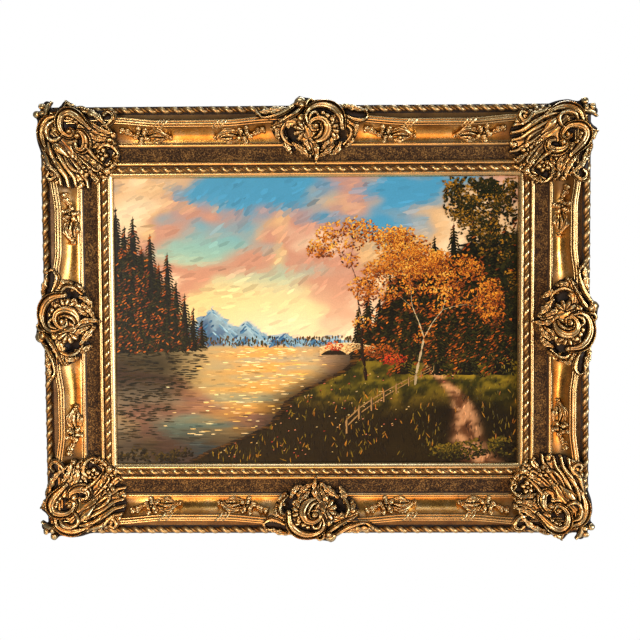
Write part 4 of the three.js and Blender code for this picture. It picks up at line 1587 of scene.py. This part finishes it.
@dataclass(frozen=True)
class Landscape:
    """Where things lie in the picture, in millimetres from its middle.

    Attributes:
        shore: height of the far shore.
        sun: place across of the brightest haze.
    """

    shore: float = -42.0
    sun: float = -60.0

    def sky(self, x: Array, z: Array) -> Array:
        """Colour of the sky: blue above, gold haze below, banks of lit cloud across it.

        Args:
            x: places across, in millimetres.
            z: places up.

        Returns:
            Rows of colours.
        """
        lift = smooth(self.shore, 235, z + 0.14 * x)
        colour = blend(Sky.HAZE, Sky.TEAL, smooth(0.08, 0.5, lift))
        colour = blend(colour, Sky.ZENITH, smooth(0.42, 0.95, lift) * 0.95)
        drift = lattice_noise(x * 0.62 + z * 0.5, z * 1.15 - x * 0.32, 120, 11)
        bank = smooth(0.44, 0.62, drift + 0.10 * np.exp(-((z - 60) / 90) ** 2))
        warm = lattice_noise(x, z, 90, 29)
        cloud = blend(Sky.CLOUD, Sky.BLUSH, smooth(0.45, 0.62, warm))
        cloud = blend(cloud, Sky.CREAM, smooth(0.56, 0.74, drift) * 0.8)
        colour = blend(colour, cloud, bank * 0.92)
        glow = np.exp(-((x - self.sun) / 130) ** 2 - ((z - self.shore - 20) / 55) ** 2)
        return blend(colour, Sky.CREAM, glow * 0.75)

    def ridge(self, x: Array) -> Array:
        """Height of the mountains' skyline."""
        peaks = ((-178, 66, 74), (-118, 44, 60), (-238, 38, 64), (-52, 22, 70), (20, 14, 80))
        line = np.full(np.shape(x), self.shore + 3.0)
        for at, high, wide in peaks:
            line = np.maximum(line, self.shore + high * (1 - np.abs(x - at) / wide))
        return line + 5 * (lattice_noise(x, np.zeros_like(x), 18, 5) - 0.5)

    def treeline(self, x: Array) -> Array:
        """Height of the dark wood behind the trees on both sides."""
        right = smooth(55, 150, x) * (112 + 0.42 * (x - 100))
        left = smooth(-190, -300, x) * 176
        ragged = 0.75 + 0.5 * lattice_noise(x, np.zeros_like(x), 30, 83, 5)
        return self.shore - 14 + np.maximum(right, left) * ragged

    def bank(self, z: Array) -> Array:
        """Place across of the near bank's edge at a height."""
        fall = np.clip((self.shore - 14 - z) / 190, 0, 1)
        return 62 - 270 * fall ** 1.25 + 15 * np.sin(z * 0.06)

    def water(self, x: Array, z: Array) -> Array:
        """Colour of the lake: the sky turned over, gold in the middle and dark under the trees.

        Args:
            x: places across, in millimetres.
            z: places up.

        Returns:
            Rows of colours.
        """
        seen = self.sky(x, 2 * self.shore - z * 1.05 + 10)
        colour = blend(seen, "#2c2413", np.full(np.shape(x), 0.42))
        ripple = lattice_noise(x * 0.3, z * 2.6, 20, 41)
        gold = np.exp(-((x + 85) / 110) ** 2) * smooth(0.35, 0.65, ripple)
        colour = blend(colour, "#e6b355", gold * 0.75)
        left = smooth(-180, -270, x) * smooth(-215, -90, z)
        near = smooth(75, 0, self.bank(z) - x)
        low = smooth(-130, -225, z)
        shade = np.maximum.reduce([left * 0.95, near * 0.9, low * 0.9])
        return blend(colour, "#12110a", shade * (0.76 + 0.24 * ripple))

    def meadow(self, x: Array, z: Array) -> Array:
        """Colour of the near bank: lit grass behind, umber and dark green in front.

        Args:
            x: places across, in millimetres.
            z: places up.

        Returns:
            Rows of colours.
        """
        mottle = lattice_noise(x, z * 2, 42, 61)
        lit = smooth(-165, -100, z + 10 * np.sin(x * 0.02)) * smooth(-40, -75, z)
        colour = blend("#0e0c05", "#2f290d", mottle)
        clumps = smooth(0.35, 0.65, lattice_noise(x, z * 1.6, 16, 67))
        fresh = blend("#4c5314", "#b39a36", mottle)
        colour = blend(colour, blend("#3a3d12", fresh, clumps), lit * 0.95)
        middle = 205 - (z + 95) * 0.62 + 16 * np.sin(z * 0.035)
        width = np.clip(7 + (-85 - z) * 0.17, 4, 40)
        path = np.exp(-((x - middle) / width) ** 4) * smooth(-70, -85, z)
        return blend(colour, blend("#6e4a30", "#cfa379", clumps), path * 0.85)

    def colour(self, x: Array, z: Array) -> Array:
        """Colour of the underpainting.

        Args:
            x: places across, in millimetres.
            z: places up.

        Returns:
            Rows of colours.
        """
        picture = self.sky(x, z)
        hills = smooth(-1.5, 1.5, self.ridge(x) - z)
        snow = lattice_noise(x, z, 26, 71)
        stone = blend("#3d6f97", "#9cc3d3",
                      smooth(0.4, 0.7, snow + 0.004 * (z - self.shore)))
        picture = blend(picture, stone, hills * 0.92)
        gloom = blend("#080b05", "#2c2710", lattice_noise(x, z * 0.6, 24, 97))
        picture = blend(picture, gloom, smooth(-5, 5, self.treeline(x) - z))
        picture = np.where((z < self.shore)[..., None], self.water(x, z), picture)
        land = smooth(-3, 3, x - self.bank(z)) * smooth(self.shore + 8, self.shore - 2, z)
        return blend(picture, self.meadow(x, z), land)


# half the width and half the height that the brush reaches, 2 mm inside the sight edge
FIELD_X, FIELD_Z = 343, 243


class Brush:
    """Lays dabs of paint and remembers them: place, length, width, turn, colour and body."""

    FIELDS = ("x", "z", "long", "wide", "turn", "body")

    def __init__(self, seed: int) -> None:
        """Start with a clean brush and a fixed seed."""
        self.random = np.random.default_rng(seed)
        self.rows: list[Array] = []
        self.paint: list[Array] = []
        self.layer = 0.0

    @staticmethod
    def mixed(palette: Array, share: Array) -> Array:
        """Mix neighbours in a palette, from its first colour at share 0 to its last at 1."""
        at = share * (len(palette) - 1)
        low = np.floor(at).astype(int)
        return blend(palette[low], palette[np.minimum(low + 1, len(palette) - 1)], at - low)

    def pick(self, palette: Array, count: int, stray: float = 0.12) -> Array:
        """Mix count colours from neighbours in a palette, each a little lighter or darker."""
        mixed = self.mixed(palette, self.random.random(count))
        return mixed * (1 + stray * self.random.standard_normal((count, 1))).clip(0.4, 1.8)

    def dabs(self, x: Array, z: Array, long: object, wide: object, turn: object,
             colour: Array, body: float = 0.45) -> None:
        """Lay dabs.

        Args:
            x: places across, in millimetres.
            z: places up.
            long: half length, one for all or one each.
            wide: half width.
            turn: angle in radians from level.
            colour: rows of linear colours.
            body: how thick the paint stands.
        """
        x = np.asarray(x, float)
        columns = [np.broadcast_to(np.asarray(v, float), x.shape) for v in (x, z, long, wide, turn, body)]
        rows = np.stack(columns, axis=1)
        rows = np.column_stack([rows, np.full(len(x), self.layer)])
        kept = (np.abs(rows[:, 0]) < FIELD_X) & (np.abs(rows[:, 1]) < FIELD_Z)
        self.rows.append(rows[kept])
        self.paint.append(np.clip(colour, 0, 1)[kept])

    def next_layer(self) -> None:
        """Let what follows lie over what is there."""
        self.layer += 0.09

    def line(self, start: tuple, end: tuple, wide: float, colour: Array, body: float = 0.6) -> None:
        """Draw one stroke from start to end."""
        (x0, z0), (x1, z1) = start, end
        long = math.hypot(x1 - x0, z1 - z0) / 2
        self.dabs(np.array([(x0 + x1) / 2]), np.array([(z0 + z1) / 2]), long * 1.15, wide / 2,
                  math.atan2(z1 - z0, x1 - x0), colour.reshape(1, 3), body)


@dataclass
class Painter:
    """Works over the underpainting, from the sky to the leaves in front.

    Attributes:
        scene: where things lie.
        brush: what lays and remembers the dabs.
    """

    scene: Landscape
    brush: Brush

    NEEDLES = ("#0c120a", "#18210f", "#2a3014", "#3b3a18")
    RUST = ("#5a3414", "#9a4f1a", "#c47a2a")
    GOLD = ("#4e2a10", "#8f4c18", "#c17a28", "#d9a03c", "#e2bd63")
    OLIVE = ("#1c1a08", "#43380f", "#7d6119", "#ae8429")

    def paint(self) -> None:
        """Lay every passage in order."""
        for passage in (self.air, self.distance, self.lake, self.bridge, self.woods, self.bank,
                        self.tall_trees, self.near_leaves):
            passage()
            self.brush.next_layer()

    def air(self) -> None:
        """Long soft strokes that follow the drift of the clouds."""
        random = self.brush.random
        uniform = random.uniform
        count = 950
        x, z = uniform(-FIELD_X, FIELD_X, count), uniform(self.scene.shore + 6, FIELD_Z, count)
        colour = self.scene.colour(x, z)
        colour *= (1 + 0.09 * random.standard_normal((count, 1))).clip(0.7, 1.3)
        turn = 0.42 + 0.28 * np.sin(x * 0.011 + z * 0.014) + 0.12 * random.standard_normal(count)
        self.brush.dabs(x, z, uniform(8, 19, count), uniform(2.2, 5.0, count), turn, colour, 0.28)

    def distance(self) -> None:
        """Mountain slopes and the dark trees along the far shore."""
        random, scene = self.brush.random, self.scene
        uniform, pick = random.uniform, self.brush.pick
        count = 320
        x = uniform(-320, 90, count)
        top = scene.ridge(x)
        z = scene.shore + random.random(count) * np.maximum(0, top - scene.shore - 3)
        lit = np.gradient(scene.ridge(np.sort(x)))[np.argsort(np.argsort(x))] < 0
        colour = np.where(lit[:, None], pick(tints("#5d95b8", "#a9cbd6"), count),
                          pick(tints("#2f5d86", "#5d93b4"), count))
        self.brush.dabs(x, z, uniform(4, 9, count), uniform(1.2, 2.4, count),
                        np.where(lit, -0.75, 0.7), colour, 0.2)
        for at in np.arange(-FIELD_X, 80, 5.5):
            high = 9 + 11 * lattice_noise(np.array([at]), np.array([0.0]), 34, 91, 3)[0]
            count = 5
            z = scene.shore + random.random(count) * high
            x = at + uniform(-4, 4, count)
            near = pick(tints("#24301f", "#4a4a26", "#7d5a2a"), count)
            self.brush.dabs(x, z, uniform(2.4, 4.4, count), 1.6, np.pi / 2, near, 0.3)

    def lake(self) -> None:
        """Level strokes of reflected sky, broken by gold glints and dark reflections."""
        random, scene = self.brush.random, self.scene
        uniform, normal = random.uniform, random.standard_normal
        count = 1500
        x = uniform(-FIELD_X, 200, count)
        z = scene.shore - 200 * random.random(count) ** 1.15
        x, z = x[x < scene.bank(z) - 2], z[x < scene.bank(z) - 2]
        near = (scene.shore - z) / 200
        colour = scene.water(x, z) * (1 + 0.2 * normal((len(x), 1))).clip(0.5, 1.7)
        self.brush.dabs(x, z, (4 + 10 * near) * uniform(0.6, 1.4, len(x)),
                        0.7 + 1.1 * near, 0.03 * normal(len(x)), colour, 0.25)
        count = 230
        z = scene.shore - 5 - 150 * random.random(count) ** 1.3
        x = -85 + 75 * normal(count) * (0.5 + 0.5 * (scene.shore - z) / 150)
        kept = x < scene.bank(z) - 6
        glint = self.brush.pick(tints("#f6cf6c", "#fff0c0"), count)[kept]
        self.brush.dabs(x[kept], z[kept], uniform(3, 10, kept.sum()), 0.8, 0.0, glint, 0.4)

    def bridge(self) -> None:
        """A low bridge of pale stone with two arches over an inlet."""
        random = self.brush.random
        dabs = self.brush.dabs
        base, span, rise = self.scene.shore - 17, 92.0, 17.0
        left = 8.0
        for s in np.linspace(0, 1, 46):
            x = left + s * span
            top = base + rise * (0.72 + 0.42 * math.sin(math.pi * s))
            under = max(0.0, math.sin(2 * math.pi * s % math.pi)) ** 0.6 * rise * 0.66
            for z in np.arange(base + under, top, 2.6):
                stone = self.brush.pick(tints("#b78d55", "#efd9a2", "#d8b072"), 1)
                dabs(np.array([x]), np.array([z]), 2.4, 1.3, 0.05 * random.standard_normal(), stone)
            dabs(np.array([x]), np.array([top + 1.2]), 2.6, 1.1, 0.3 * math.cos(math.pi * s),
                 self.brush.pick(tints("#f6e6bb", "#e6c98e"), 1), 0.6)
            if under > 2:
                dabs(np.array([x]), np.array([base + under * 0.4]), 2.2, under * 0.45,
                     0.0, tints("#2a2114"), 0.2)

    def conifer(self, x: float, base: float, high: float, half: float, lit: float = 0.3) -> None:
        """A spruce whose drooping boughs widen downwards.

        Args:
            x: place across of its trunk.
            base: height of its foot.
            high: height of the tree.
            half: half width at its foot.
            lit: share of boughs that catch the light.
        """
        random = self.brush.random
        uniform = random.uniform
        for drop in np.arange(1.5, high, 4.6):
            spread = half * (drop / high) ** 0.85 * uniform(0.72, 1.2)
            count = 1 + int(spread / 3.0)
            s = np.linspace(-1, 1, count) + 0.1 * random.standard_normal(count)
            bough_x = x + s * spread
            bough_z = base + high - drop - np.abs(s) * spread * 0.32
            core = np.array([base + high - drop - spread * 0.16])
            self.brush.dabs(np.array([x]), core, spread * 0.88, 3.6, 0.0, tints(self.NEEDLES[0]), 0.12)
            colour = self.brush.pick(tints(*self.NEEDLES), count, 0.2)
            bright = self.brush.pick(tints("#4a4a1c", *self.RUST), count, 0.2)
            caught = random.random(count) < lit * np.where(s < -0.25, 1.9, 0.16)
            colour[caught] = bright[caught]
            turn = np.where(s < 0, 0.6, -0.6) + 0.2 * random.standard_normal(count)
            self.brush.dabs(bough_x, bough_z, uniform(3.4, 5.6, count), uniform(1.2, 2.0, count),
                            turn, colour, 0.5)
        self.brush.line((x, base + high - 6), (x, base + high + 5), 1.2, tints(self.NEEDLES[1])[0])

    def woods(self) -> None:
        """Spruces in two ranks on the right and a small group across the lake."""
        random = self.brush.random
        uniform = random.uniform
        heights = (84, 118, 100, 146, 128, 178, 150, 204, 168, 226, 188, 244, 206, 258, 226, 250)
        for x, high in zip(np.linspace(76, 342, 16), heights):
            self.conifer(x + uniform(-4, 4), -64, high, high * 0.17, 0.2)
        heights = (238, 206, 222, 170, 192, 142, 160, 112, 90, 66, 46)
        for x, high in zip(np.linspace(-342, -196, 11), heights):
            self.conifer(x, self.scene.shore - 4, high, high * 0.17, 0.34)
            count = int(high / 3.2)
            depth = self.scene.shore - 4 - random.random(count) * high * 0.8
            shade = self.brush.pick(tints("#12160b", "#2a2a12", "#4a3a16"), count)
            self.brush.dabs(x + uniform(-8, 8, count), depth, uniform(4, 9, count), 1.0, 0.0,
                            shade, 0.2)
        self.brush.next_layer()
        for x, high in zip((148, 206, 256, 316), (104, 136, 118, 150)):
            self.conifer(x, -88, high, high * 0.21, 0.42)
        self.cluster(108, -52, 26, 12, 150, self.RUST, 3.0)
        self.cluster(30, -44, 18, 8, 60, ("#8c2a18", "#c4452a", "#d9772e"), 2.4)
        self.cluster(132, -66, 24, 10, 110, ("#7a2416", "#b93a24", "#d8652c"), 2.6)

    def cluster(self, x: float, z: float, wide: float, high: float, count: int, palette: tuple,
                size: float, body: float = 0.55) -> None:
        """A cluster of leaves, darker below and behind.

        Args:
            x: place across of its middle.
            z: place up.
            wide: half width.
            high: half height.
            count: how many leaves.
            palette: hex codes, dark to light.
            size: size of a leaf.
            body: how thick the paint stands.
        """
        random = self.brush.random
        uniform = random.uniform
        reach = np.sqrt(random.random(count))
        angle = uniform(0, math.tau, count)
        dx, dz = reach * np.cos(angle), reach * np.sin(angle)
        lift = (0.5 + 0.42 * dz - 0.2 * dx + 0.22 * random.standard_normal(count)).clip(0, 0.999)
        colour = self.brush.mixed(tints(*palette), lift)
        colour = colour * (1 + 0.12 * random.standard_normal((count, 1))).clip(0.6, 1.5)
        self.brush.dabs(x + dx * wide, z + dz * high, size * uniform(0.6, 1.2, count),
                        size * uniform(0.35, 0.6, count), uniform(-1.2, 1.6, count), colour, body)

    def bank(self) -> None:
        """Grass blades, the worn path, flowers, and a fence beside it."""
        random, scene = self.brush.random, self.scene
        uniform, normal = random.uniform, random.standard_normal
        dabs, pick = self.brush.dabs, self.brush.pick
        count = 2100
        z = uniform(-FIELD_Z, scene.shore - 14, count)
        x = uniform(-280, FIELD_X, count)
        kept = x > scene.bank(z) + 1
        x, z = x[kept], z[kept]
        near = (-z - 56) / 190
        colour = scene.meadow(x, z) * (1 + 0.32 * normal((len(x), 1))).clip(0.35, 2.2)
        dabs(x, z, 2.0 + 3.6 * near, 0.8 + 0.7 * near, 1.45 + 0.3 * normal(len(x)),
             colour, 0.5)
        count = 110
        z = uniform(-235, -85, count)
        x = scene.bank(z) + 8 + random.random(count) ** 1.5 * 210
        bloom = pick(tints("#a83a2c", "#d08a6c", "#dccb94", "#c2962a"), count)
        dabs(x, z, uniform(1.1, 2.2, count), 1.0, 0.3, bloom, 0.8)
        count = 620
        z = uniform(-FIELD_Z, -120, count)
        x = scene.bank(z) + 6 + random.random(count) * 470
        tuft = lattice_noise(x, z * 1.4, 34, 103) > 0.5
        x, z = x[tuft], z[tuft]
        blade = pick(tints("#2f2d0e", "#5b5318", "#8f7c26", "#b0762a"), len(x), 0.2)
        dabs(x, z, uniform(3.5, 7.0, len(x)), 0.9, 1.5 + 0.35 * normal(len(x)),
             blade, 0.6)
        z = np.linspace(-FIELD_Z, -58, 150)
        rim = scene.bank(z) + uniform(-3, 3, z.size)
        dabs(rim, z, uniform(4, 9, z.size), 1.5, 0.1, pick(
            tints("#120f08", "#2c2210", "#6a4c20"), z.size), 0.6)
        self.fence()

    def fence(self) -> None:
        """Weathered posts and two rails along the path, smaller in the distance."""
        wood, shade = tints("#a88a5c", "#3a2a18")
        places = [(52 + 150 * s, -196 + 108 * s ** 0.8, 30 - 19 * s) for s in np.linspace(0, 1, 8)]
        for (x, z, high), (nx, nz, nhigh) in zip(places, places[1:]):
            for level in (0.45, 0.82):
                self.brush.line((x, z + high * level), (nx, nz + nhigh * level), high * 0.09, wood)
        for x, z, high in places:
            self.brush.line((x, z), (x, z + high), high * 0.17, wood)
            edge = x + high * 0.06
            self.brush.line((edge, z), (edge, z + high * 0.95), high * 0.07, shade, 0.7)

    def limb(self, x: float, z: float, angle: float, long: float, wide: float, bark: Array,
             tips: list) -> None:
        """A branch that bends and forks down to its twigs; the ends of the twigs are kept in tips.

        Args:
            x: place across of its foot.
            z: place up.
            angle: its direction in radians.
            long: its length.
            wide: its width.
            bark: its linear colour.
            tips: where ends are kept.
        """
        random = self.brush.random
        uniform = random.uniform
        steps = 4
        for _ in range(steps):
            nx, nz = x + math.cos(angle) * long / steps, z + math.sin(angle) * long / steps
            self.brush.line((x, z), (nx, nz), wide, bark * uniform(0.7, 1.35))
            x, z, wide = nx, nz, wide * 0.9
            angle += uniform(-0.16, 0.16)
        tips.append((x, z))
        for turn in (-0.52, 0.44) if long >= 16 else ():
            self.limb(x, z, angle + turn + uniform(-0.14, 0.14), long * 0.68, wide * 0.7, bark, tips)

    def tall_trees(self) -> None:
        """Two tall trees in autumn leaf on the bank."""
        for x, z, angle, long, wide, bark, palette, size in (
            (86, -104, 1.66, 98, 7.5, "#2b1b10", self.GOLD, 2.8),
            (170, -112, 1.47, 84, 5.5, "#b9ab88", self.GOLD[:4], 2.6),
        ):
            tips: list = []
            self.limb(x, z, angle, long, wide, tints(bark)[0], tips)
            self.brush.next_layer()
            for tip_x, tip_z in tips:
                self.cluster(tip_x, tip_z, 18, 13, 44, palette, size)

    def near_leaves(self) -> None:
        """Dark boughs that hang into the upper right corner, and bushes at the lower edge."""
        random = self.brush.random
        uniform = random.uniform
        for palette, count, size in ((self.NEEDLES, 40, 4.2), (self.OLIVE, 52, 3.0)):
            for _ in range(count):
                x = FIELD_X - 112 * random.random() ** 1.4
                z = 240 - 190 * random.random() ** 1.1 * (x - 190) / 150
                self.cluster(x, z, 17, 12, 26, palette, size)
        for _ in range(26):
            x = uniform(205, FIELD_X)
            self.cluster(x, -232 + 34 * random.random() * (x - 180) / 150, 16, 11, 24,
                         ("#100f06", "#242410", "#4d4a18", "#7c6a22"), 3.6)
        for _ in range(12):
            self.cluster(uniform(-FIELD_X, -215), uniform(-FIELD_Z, -224), 15, 9, 20,
                         ("#0d0d06", "#2a2812", "#5a4c1c"), 3.4)


class DabTree(GeometrySheet):
    """Geometry nodes that set a small mound of paint on each point."""

    def __init__(self) -> None:
        """Build the tree: a low cone on each point, stretched and turned by the point's numbers."""
        super().__init__("paint_dabs", {"Dabs": "Object", "Facets": "Int"})
        points = self.add("GeometryNodeObjectInfo", {}, Object=self.given["Dabs"]).outputs["Geometry"]
        mound = self.add("GeometryNodeMeshCone", {}, Vertices=self.given["Facets"], Radius_Top=0.0,
                         Radius_Bottom=1.0, Depth=1.0)
        named = {"data_type": "FLOAT"}
        long, wide, body, turn = (self.add("GeometryNodeInputNamedAttribute", named, Name=name)
                                  for name in ("long", "wide", "body", "turn"))
        places = self.add("GeometryNodeMeshToPoints", {}, points)
        self.dress(self.add("GeometryNodeInstanceOnPoints", {}, places, Instance=mound,
                            Rotation=self.add("ShaderNodeCombineXYZ", {}, Z=turn),
                            Scale=self.add("ShaderNodeCombineXYZ", {}, long, wide, body)))


def hung(drawn: Array) -> Array:
    """Turn rows of (across, up, out from the wall) in millimetres into world metres."""
    return np.column_stack([drawn[:, 0], -drawn[:, 2], drawn[:, 1] + SIZES.middle]) * MM


@dataclass
class Canvas:
    """Primed linen with an oil landscape, turned over the edges of its stretcher.

    Attributes:
        wide: width over the stretcher.
        high: height over the stretcher.
        thick: thickness of the linen.
        turned: how far the turned edges reach back from the painted face.
        cell: spacing of the underpainting's colours.
    """

    scene: Landscape
    wide: float = 700.0
    high: float = 500.0
    thick: float = 1.0
    turned: float = 13.0
    cell: float = 4.2

    def build(self, paint: Material) -> Object:
        """Build the canvas as one closed mesh, painted on its front.

        Args:
            paint: its material.

        Returns:
            The canvas.
        """
        nx, nz = round(self.wide / self.cell), round(self.high / self.cell)
        x, z = np.meshgrid(np.linspace(-self.wide / 2, self.wide / 2, nx + 1),
                           np.linspace(-self.high / 2, self.high / 2, nz + 1), indexing="ij")
        number = np.arange(x.size).reshape(x.shape)
        over = np.stack([number[:-1, :-1], number[1:, :-1], number[1:, 1:], number[:-1, 1:]], axis=-1)
        rim = np.concatenate([number[:-1, 0], number[-1, :-1], number[:0:-1, -1], number[0, :0:-1]])
        flat = np.stack([x.ravel(), z.ravel()], axis=1)
        face = SIZES.face
        inset = flat[rim] * (1 - 2 * self.thick / np.array([self.wide, self.high]))
        loops = [(flat[rim], face - self.turned), (inset, face - self.turned), (inset, face - self.thick)]
        points = [np.column_stack([flat, np.full(len(flat), face)])]
        points += [np.column_stack([ring, np.full(len(ring), level)]) for ring, level in loops]
        faces = over.reshape(-1, 4).tolist()
        rings = [rim] + [x.size + k * len(rim) + np.arange(len(rim)) for k in range(3)]
        for upper, lower in zip(rings, rings[1:]):
            faces += np.stack([np.roll(upper, -1), upper, lower, np.roll(lower, -1)], axis=1).tolist()
        faces.append(rings[-1][::-1].tolist())
        drawn = np.concatenate(points)
        piece = make_mesh("painted_canvas", hung(drawn), faces)
        colour = self.scene.colour(drawn[:, 0], drawn[:, 1])
        linen = np.ones(len(drawn))
        # the paint stops 2 mm short of the stretcher's edge
        edge_x, edge_z = self.wide / 2 - 2, self.high / 2 - 2
        linen[:x.size] = (np.abs(flat[:, 0]) > edge_x) | (np.abs(flat[:, 1]) > edge_z)
        set_colour(piece.data, "paint", colour)
        set_value(piece.data, "linen", linen)
        piece.data.set_sharp_from_angle(angle=math.radians(40))
        piece.data.materials.append(paint)
        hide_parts("canvas")
        return piece

    def impasto(self, paint: Material, brush: Brush) -> Object:
        """Set every dab of the brush on the canvas as raised paint.

        Args:
            paint: its material.
            brush: the brush that laid the dabs.

        Returns:
            The raised paint.
        """
        rows, colour = np.concatenate(brush.rows), np.concatenate(brush.paint)
        cloud = bpy.data.meshes.new("dab_points")
        lift = rows[:, 6] + 0.02
        cloud.from_pydata(np.column_stack([rows[:, :2], lift]).tolist(), [], [])
        for name, column in zip(Brush.FIELDS[2:], rows[:, 2:6].T):
            set_value(cloud, name, column)
        set_colour(cloud, "paint", colour)
        holder = set_out("dab_points", cloud)
        piece = DabTree().run("raised_paint", {"Dabs": holder, "Facets": 5, "Finish": paint})
        bpy.data.objects.remove(holder)
        bpy.data.meshes.remove(cloud)
        mesh = piece.data
        world = hung(mesh_points(mesh) + np.array([0, 0, SIZES.face]))
        mesh.vertices.foreach_set("co", world.ravel())
        for name in Brush.FIELDS[2:]:
            if name in mesh.attributes:
                mesh.attributes.remove(mesh.attributes[name])
        mesh.shade_smooth()
        mesh.set_sharp_from_angle(angle=math.radians(40))
        return piece


# ---- studio ----
@dataclass(frozen=True)
class Softbox:
    """A square soft light aimed at the frame's centre.

    Attributes:
        name: its name.
        place: where it stands, in metres.
        size: length of its side in metres.
        power: its power in watts.
        tint: its colour.
    """

    name: str
    place: tuple[float, float, float]
    size: float
    power: float
    tint: str = "#ffffff"

    def build(self, target: Array) -> None:
        """Set the light up.

        Args:
            target: the place that it is aimed at, in metres.
        """
        lamp = bpy.data.lights.new(self.name, "AREA")
        lamp.shape = "SQUARE"
        lamp.size = self.size
        lamp.energy = self.power
        lamp.color = linear(self.tint)[:3]
        holder = set_out(self.name, lamp)
        holder.location = self.place
        aim = Vector(target - np.array(self.place))
        holder.rotation_euler = aim.to_track_quat("-Z", "Y").to_euler()


@dataclass
class Studio:
    """A pale floor, a white surround, soft lights and the camera.

    Attributes:
        drop: how far the floor lies below the frame's centre, in metres.
    """

    drop: float = 1.35

    def build(self) -> None:
        """Set up the floor, the surround, the lights and the camera."""
        self.floor()
        self.surround()
        centre = np.array([0, 0, SIZES.middle * MM])
        for light in (
            Softbox("front", (-1.1, -2.4, -0.3), 0.6, 22, "#fff4e4"),
            Softbox("top", (0.0, -0.3, 2.2), 1.0, 12, "#e6f1ff"),
            Softbox("window", (4.0, -1.9, -0.1), 1.9, 140, "#f6f9ff"),
            Softbox("low", (-0.2, -1.5, -1.15), 1.2, 15, "#ffb466"),
            Softbox("behind", (0.6, 2.6, 1.4), 1.6, 45),
        ):
            light.build(centre)
        self.camera()

    def floor(self) -> None:
        """Lay the pale floor well below the hung frame."""
        reach, far = 3.0, 0.9
        low = SIZES.middle * MM - self.drop
        points = np.array([[-reach, -reach - 1, low], [reach, -reach - 1, low], [reach, far, low],
                           [-reach, far, low]])
        ground = make_mesh("studio_floor", points, [[0, 1, 2, 3]])
        sheet = MaterialSheet("pale_floor")
        grain = sheet.add(NOISE, {}, sheet.place, Scale=1 / (220 * MM), Detail=4.0)
        tint = sheet.add(RAMP, {"stops": [(0.3, "#e6e4e0"), (0.7, "#f0efec")]}, grain)
        ground.data.materials.append(sheet.finish(Base_Color=tint, Roughness=0.7))

    def surround(self) -> None:
        """Fill the surround with white, dimmer for light and reflections than for the eye."""
        world = bpy.data.worlds.new("white_surround")
        bpy.context.scene.world = world
        world.use_nodes = True
        sheet = NodeSheet(world.node_tree)
        sheet.tree.nodes.clear()
        lit = sheet.add("ShaderNodeBackground", {}, linear("#f4f6fa"), 0.15)
        seen = sheet.add("ShaderNodeBackground", {}, linear("#ffffff"), 1.0)
        by_eye = sheet.add("ShaderNodeLightPath").outputs["Is Camera Ray"]
        sheet.add("ShaderNodeOutputWorld", {}, sheet.add("ShaderNodeMixShader", {}, by_eye, lit, seen))
        bpy.context.scene.view_settings.view_transform = "Standard"

    def camera(self) -> None:
        """Stand the camera in front, a little above the centre and looking slightly down."""
        pitch, yaw, roll = math.radians(-3.36), math.radians(-1.15), math.radians(-0.33)
        flat = math.cos(pitch)
        ahead = Vector((math.sin(yaw) * flat, math.cos(yaw) * flat, math.sin(pitch)))
        level = Vector((math.cos(yaw), -math.sin(yaw), 0))
        upright = level.cross(ahead)
        right = level * math.cos(roll) + upright * math.sin(roll)
        up = -level * math.sin(roll) + upright * math.cos(roll)
        lens = bpy.data.cameras.new("camera")
        lens.sensor_width = 36.0
        lens.lens = 65.1
        holder = set_out("camera", lens)
        place = Vector((0.047, -2.0, SIZES.middle * MM + 0.118))
        turn = Matrix((right, up, -ahead)).transposed().to_4x4()
        holder.matrix_world = Matrix.Translation(place) @ turn
        bpy.context.scene.camera = holder


# ---- the back ----
@dataclass
class Back:
    """Stretcher bars, steel points and sawtooth hangers, as the CAD model has them."""

    def dress(self) -> None:
        """Give the CAD nodes of the back their finishes."""
        level, upright = BareWood.pair("planed_pine", "#d9b483", "#b98a55")
        steel = StampedMetal("stamped_steel", "#9a9c9e", "#6c6a68").material()
        brass = StampedMetal("brassed_plate", "#c9a24e", "#8d6a30").material()
        finishes = {"stretcher_top": level, "stretcher_bottom": level, "stretcher_left": upright,
                    "stretcher_right": upright, "point": steel, "hanger": brass}
        for name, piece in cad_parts.items():
            for start, finish in finishes.items():
                if name.startswith(start):
                    piece.data.materials.clear()
                    piece.data.materials.append(finish)


def painted() -> list[Object]:
    """Paint the picture: the canvas with its underpainting, and the raised paint on it.

    Returns:
        The canvas and the raised paint.
    """
    scene = Landscape()
    brush = Brush(seed=7)
    Painter(scene, brush).paint()
    paint = OilPaint().material()
    canvas = Canvas(scene)
    return [canvas.build(paint), canvas.impasto(paint, brush)]


def main() -> None:
    """Build the painting's looks in order and report each piece."""
    logging.basicConfig(level=logging.INFO, format="%(name)s: %(message)s")
    Studio().build()
    moulding = Moulding()
    gilt = Gilding("gilded_composition", tone=1.15).material()
    rail_gilt = Gilding("gilded_moulding").material()
    panel = SandedPanel().material()
    back_wood = BareWood.pair("frame_back_wood", "#b58d5e", "#8a6238")
    slots = {"gilded_moulding": Rails(moulding).build(rail_gilt, panel, *back_wood),
             "gilded_casting": [*CornerOrnament().build(moulding, gilt),
                                *CentreOrnament().build(moulding, gilt),
                                *FlowerSprays().build(moulding, gilt)],
             "painted_canvas": painted()}
    for slot, pieces in slots.items():
        for piece in pieces:
            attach(piece, "root")
            log.info("%s: %d faces", piece.name, len(piece.data.polygons))
    Back().dress()


if __name__ == "__main__":
    main()
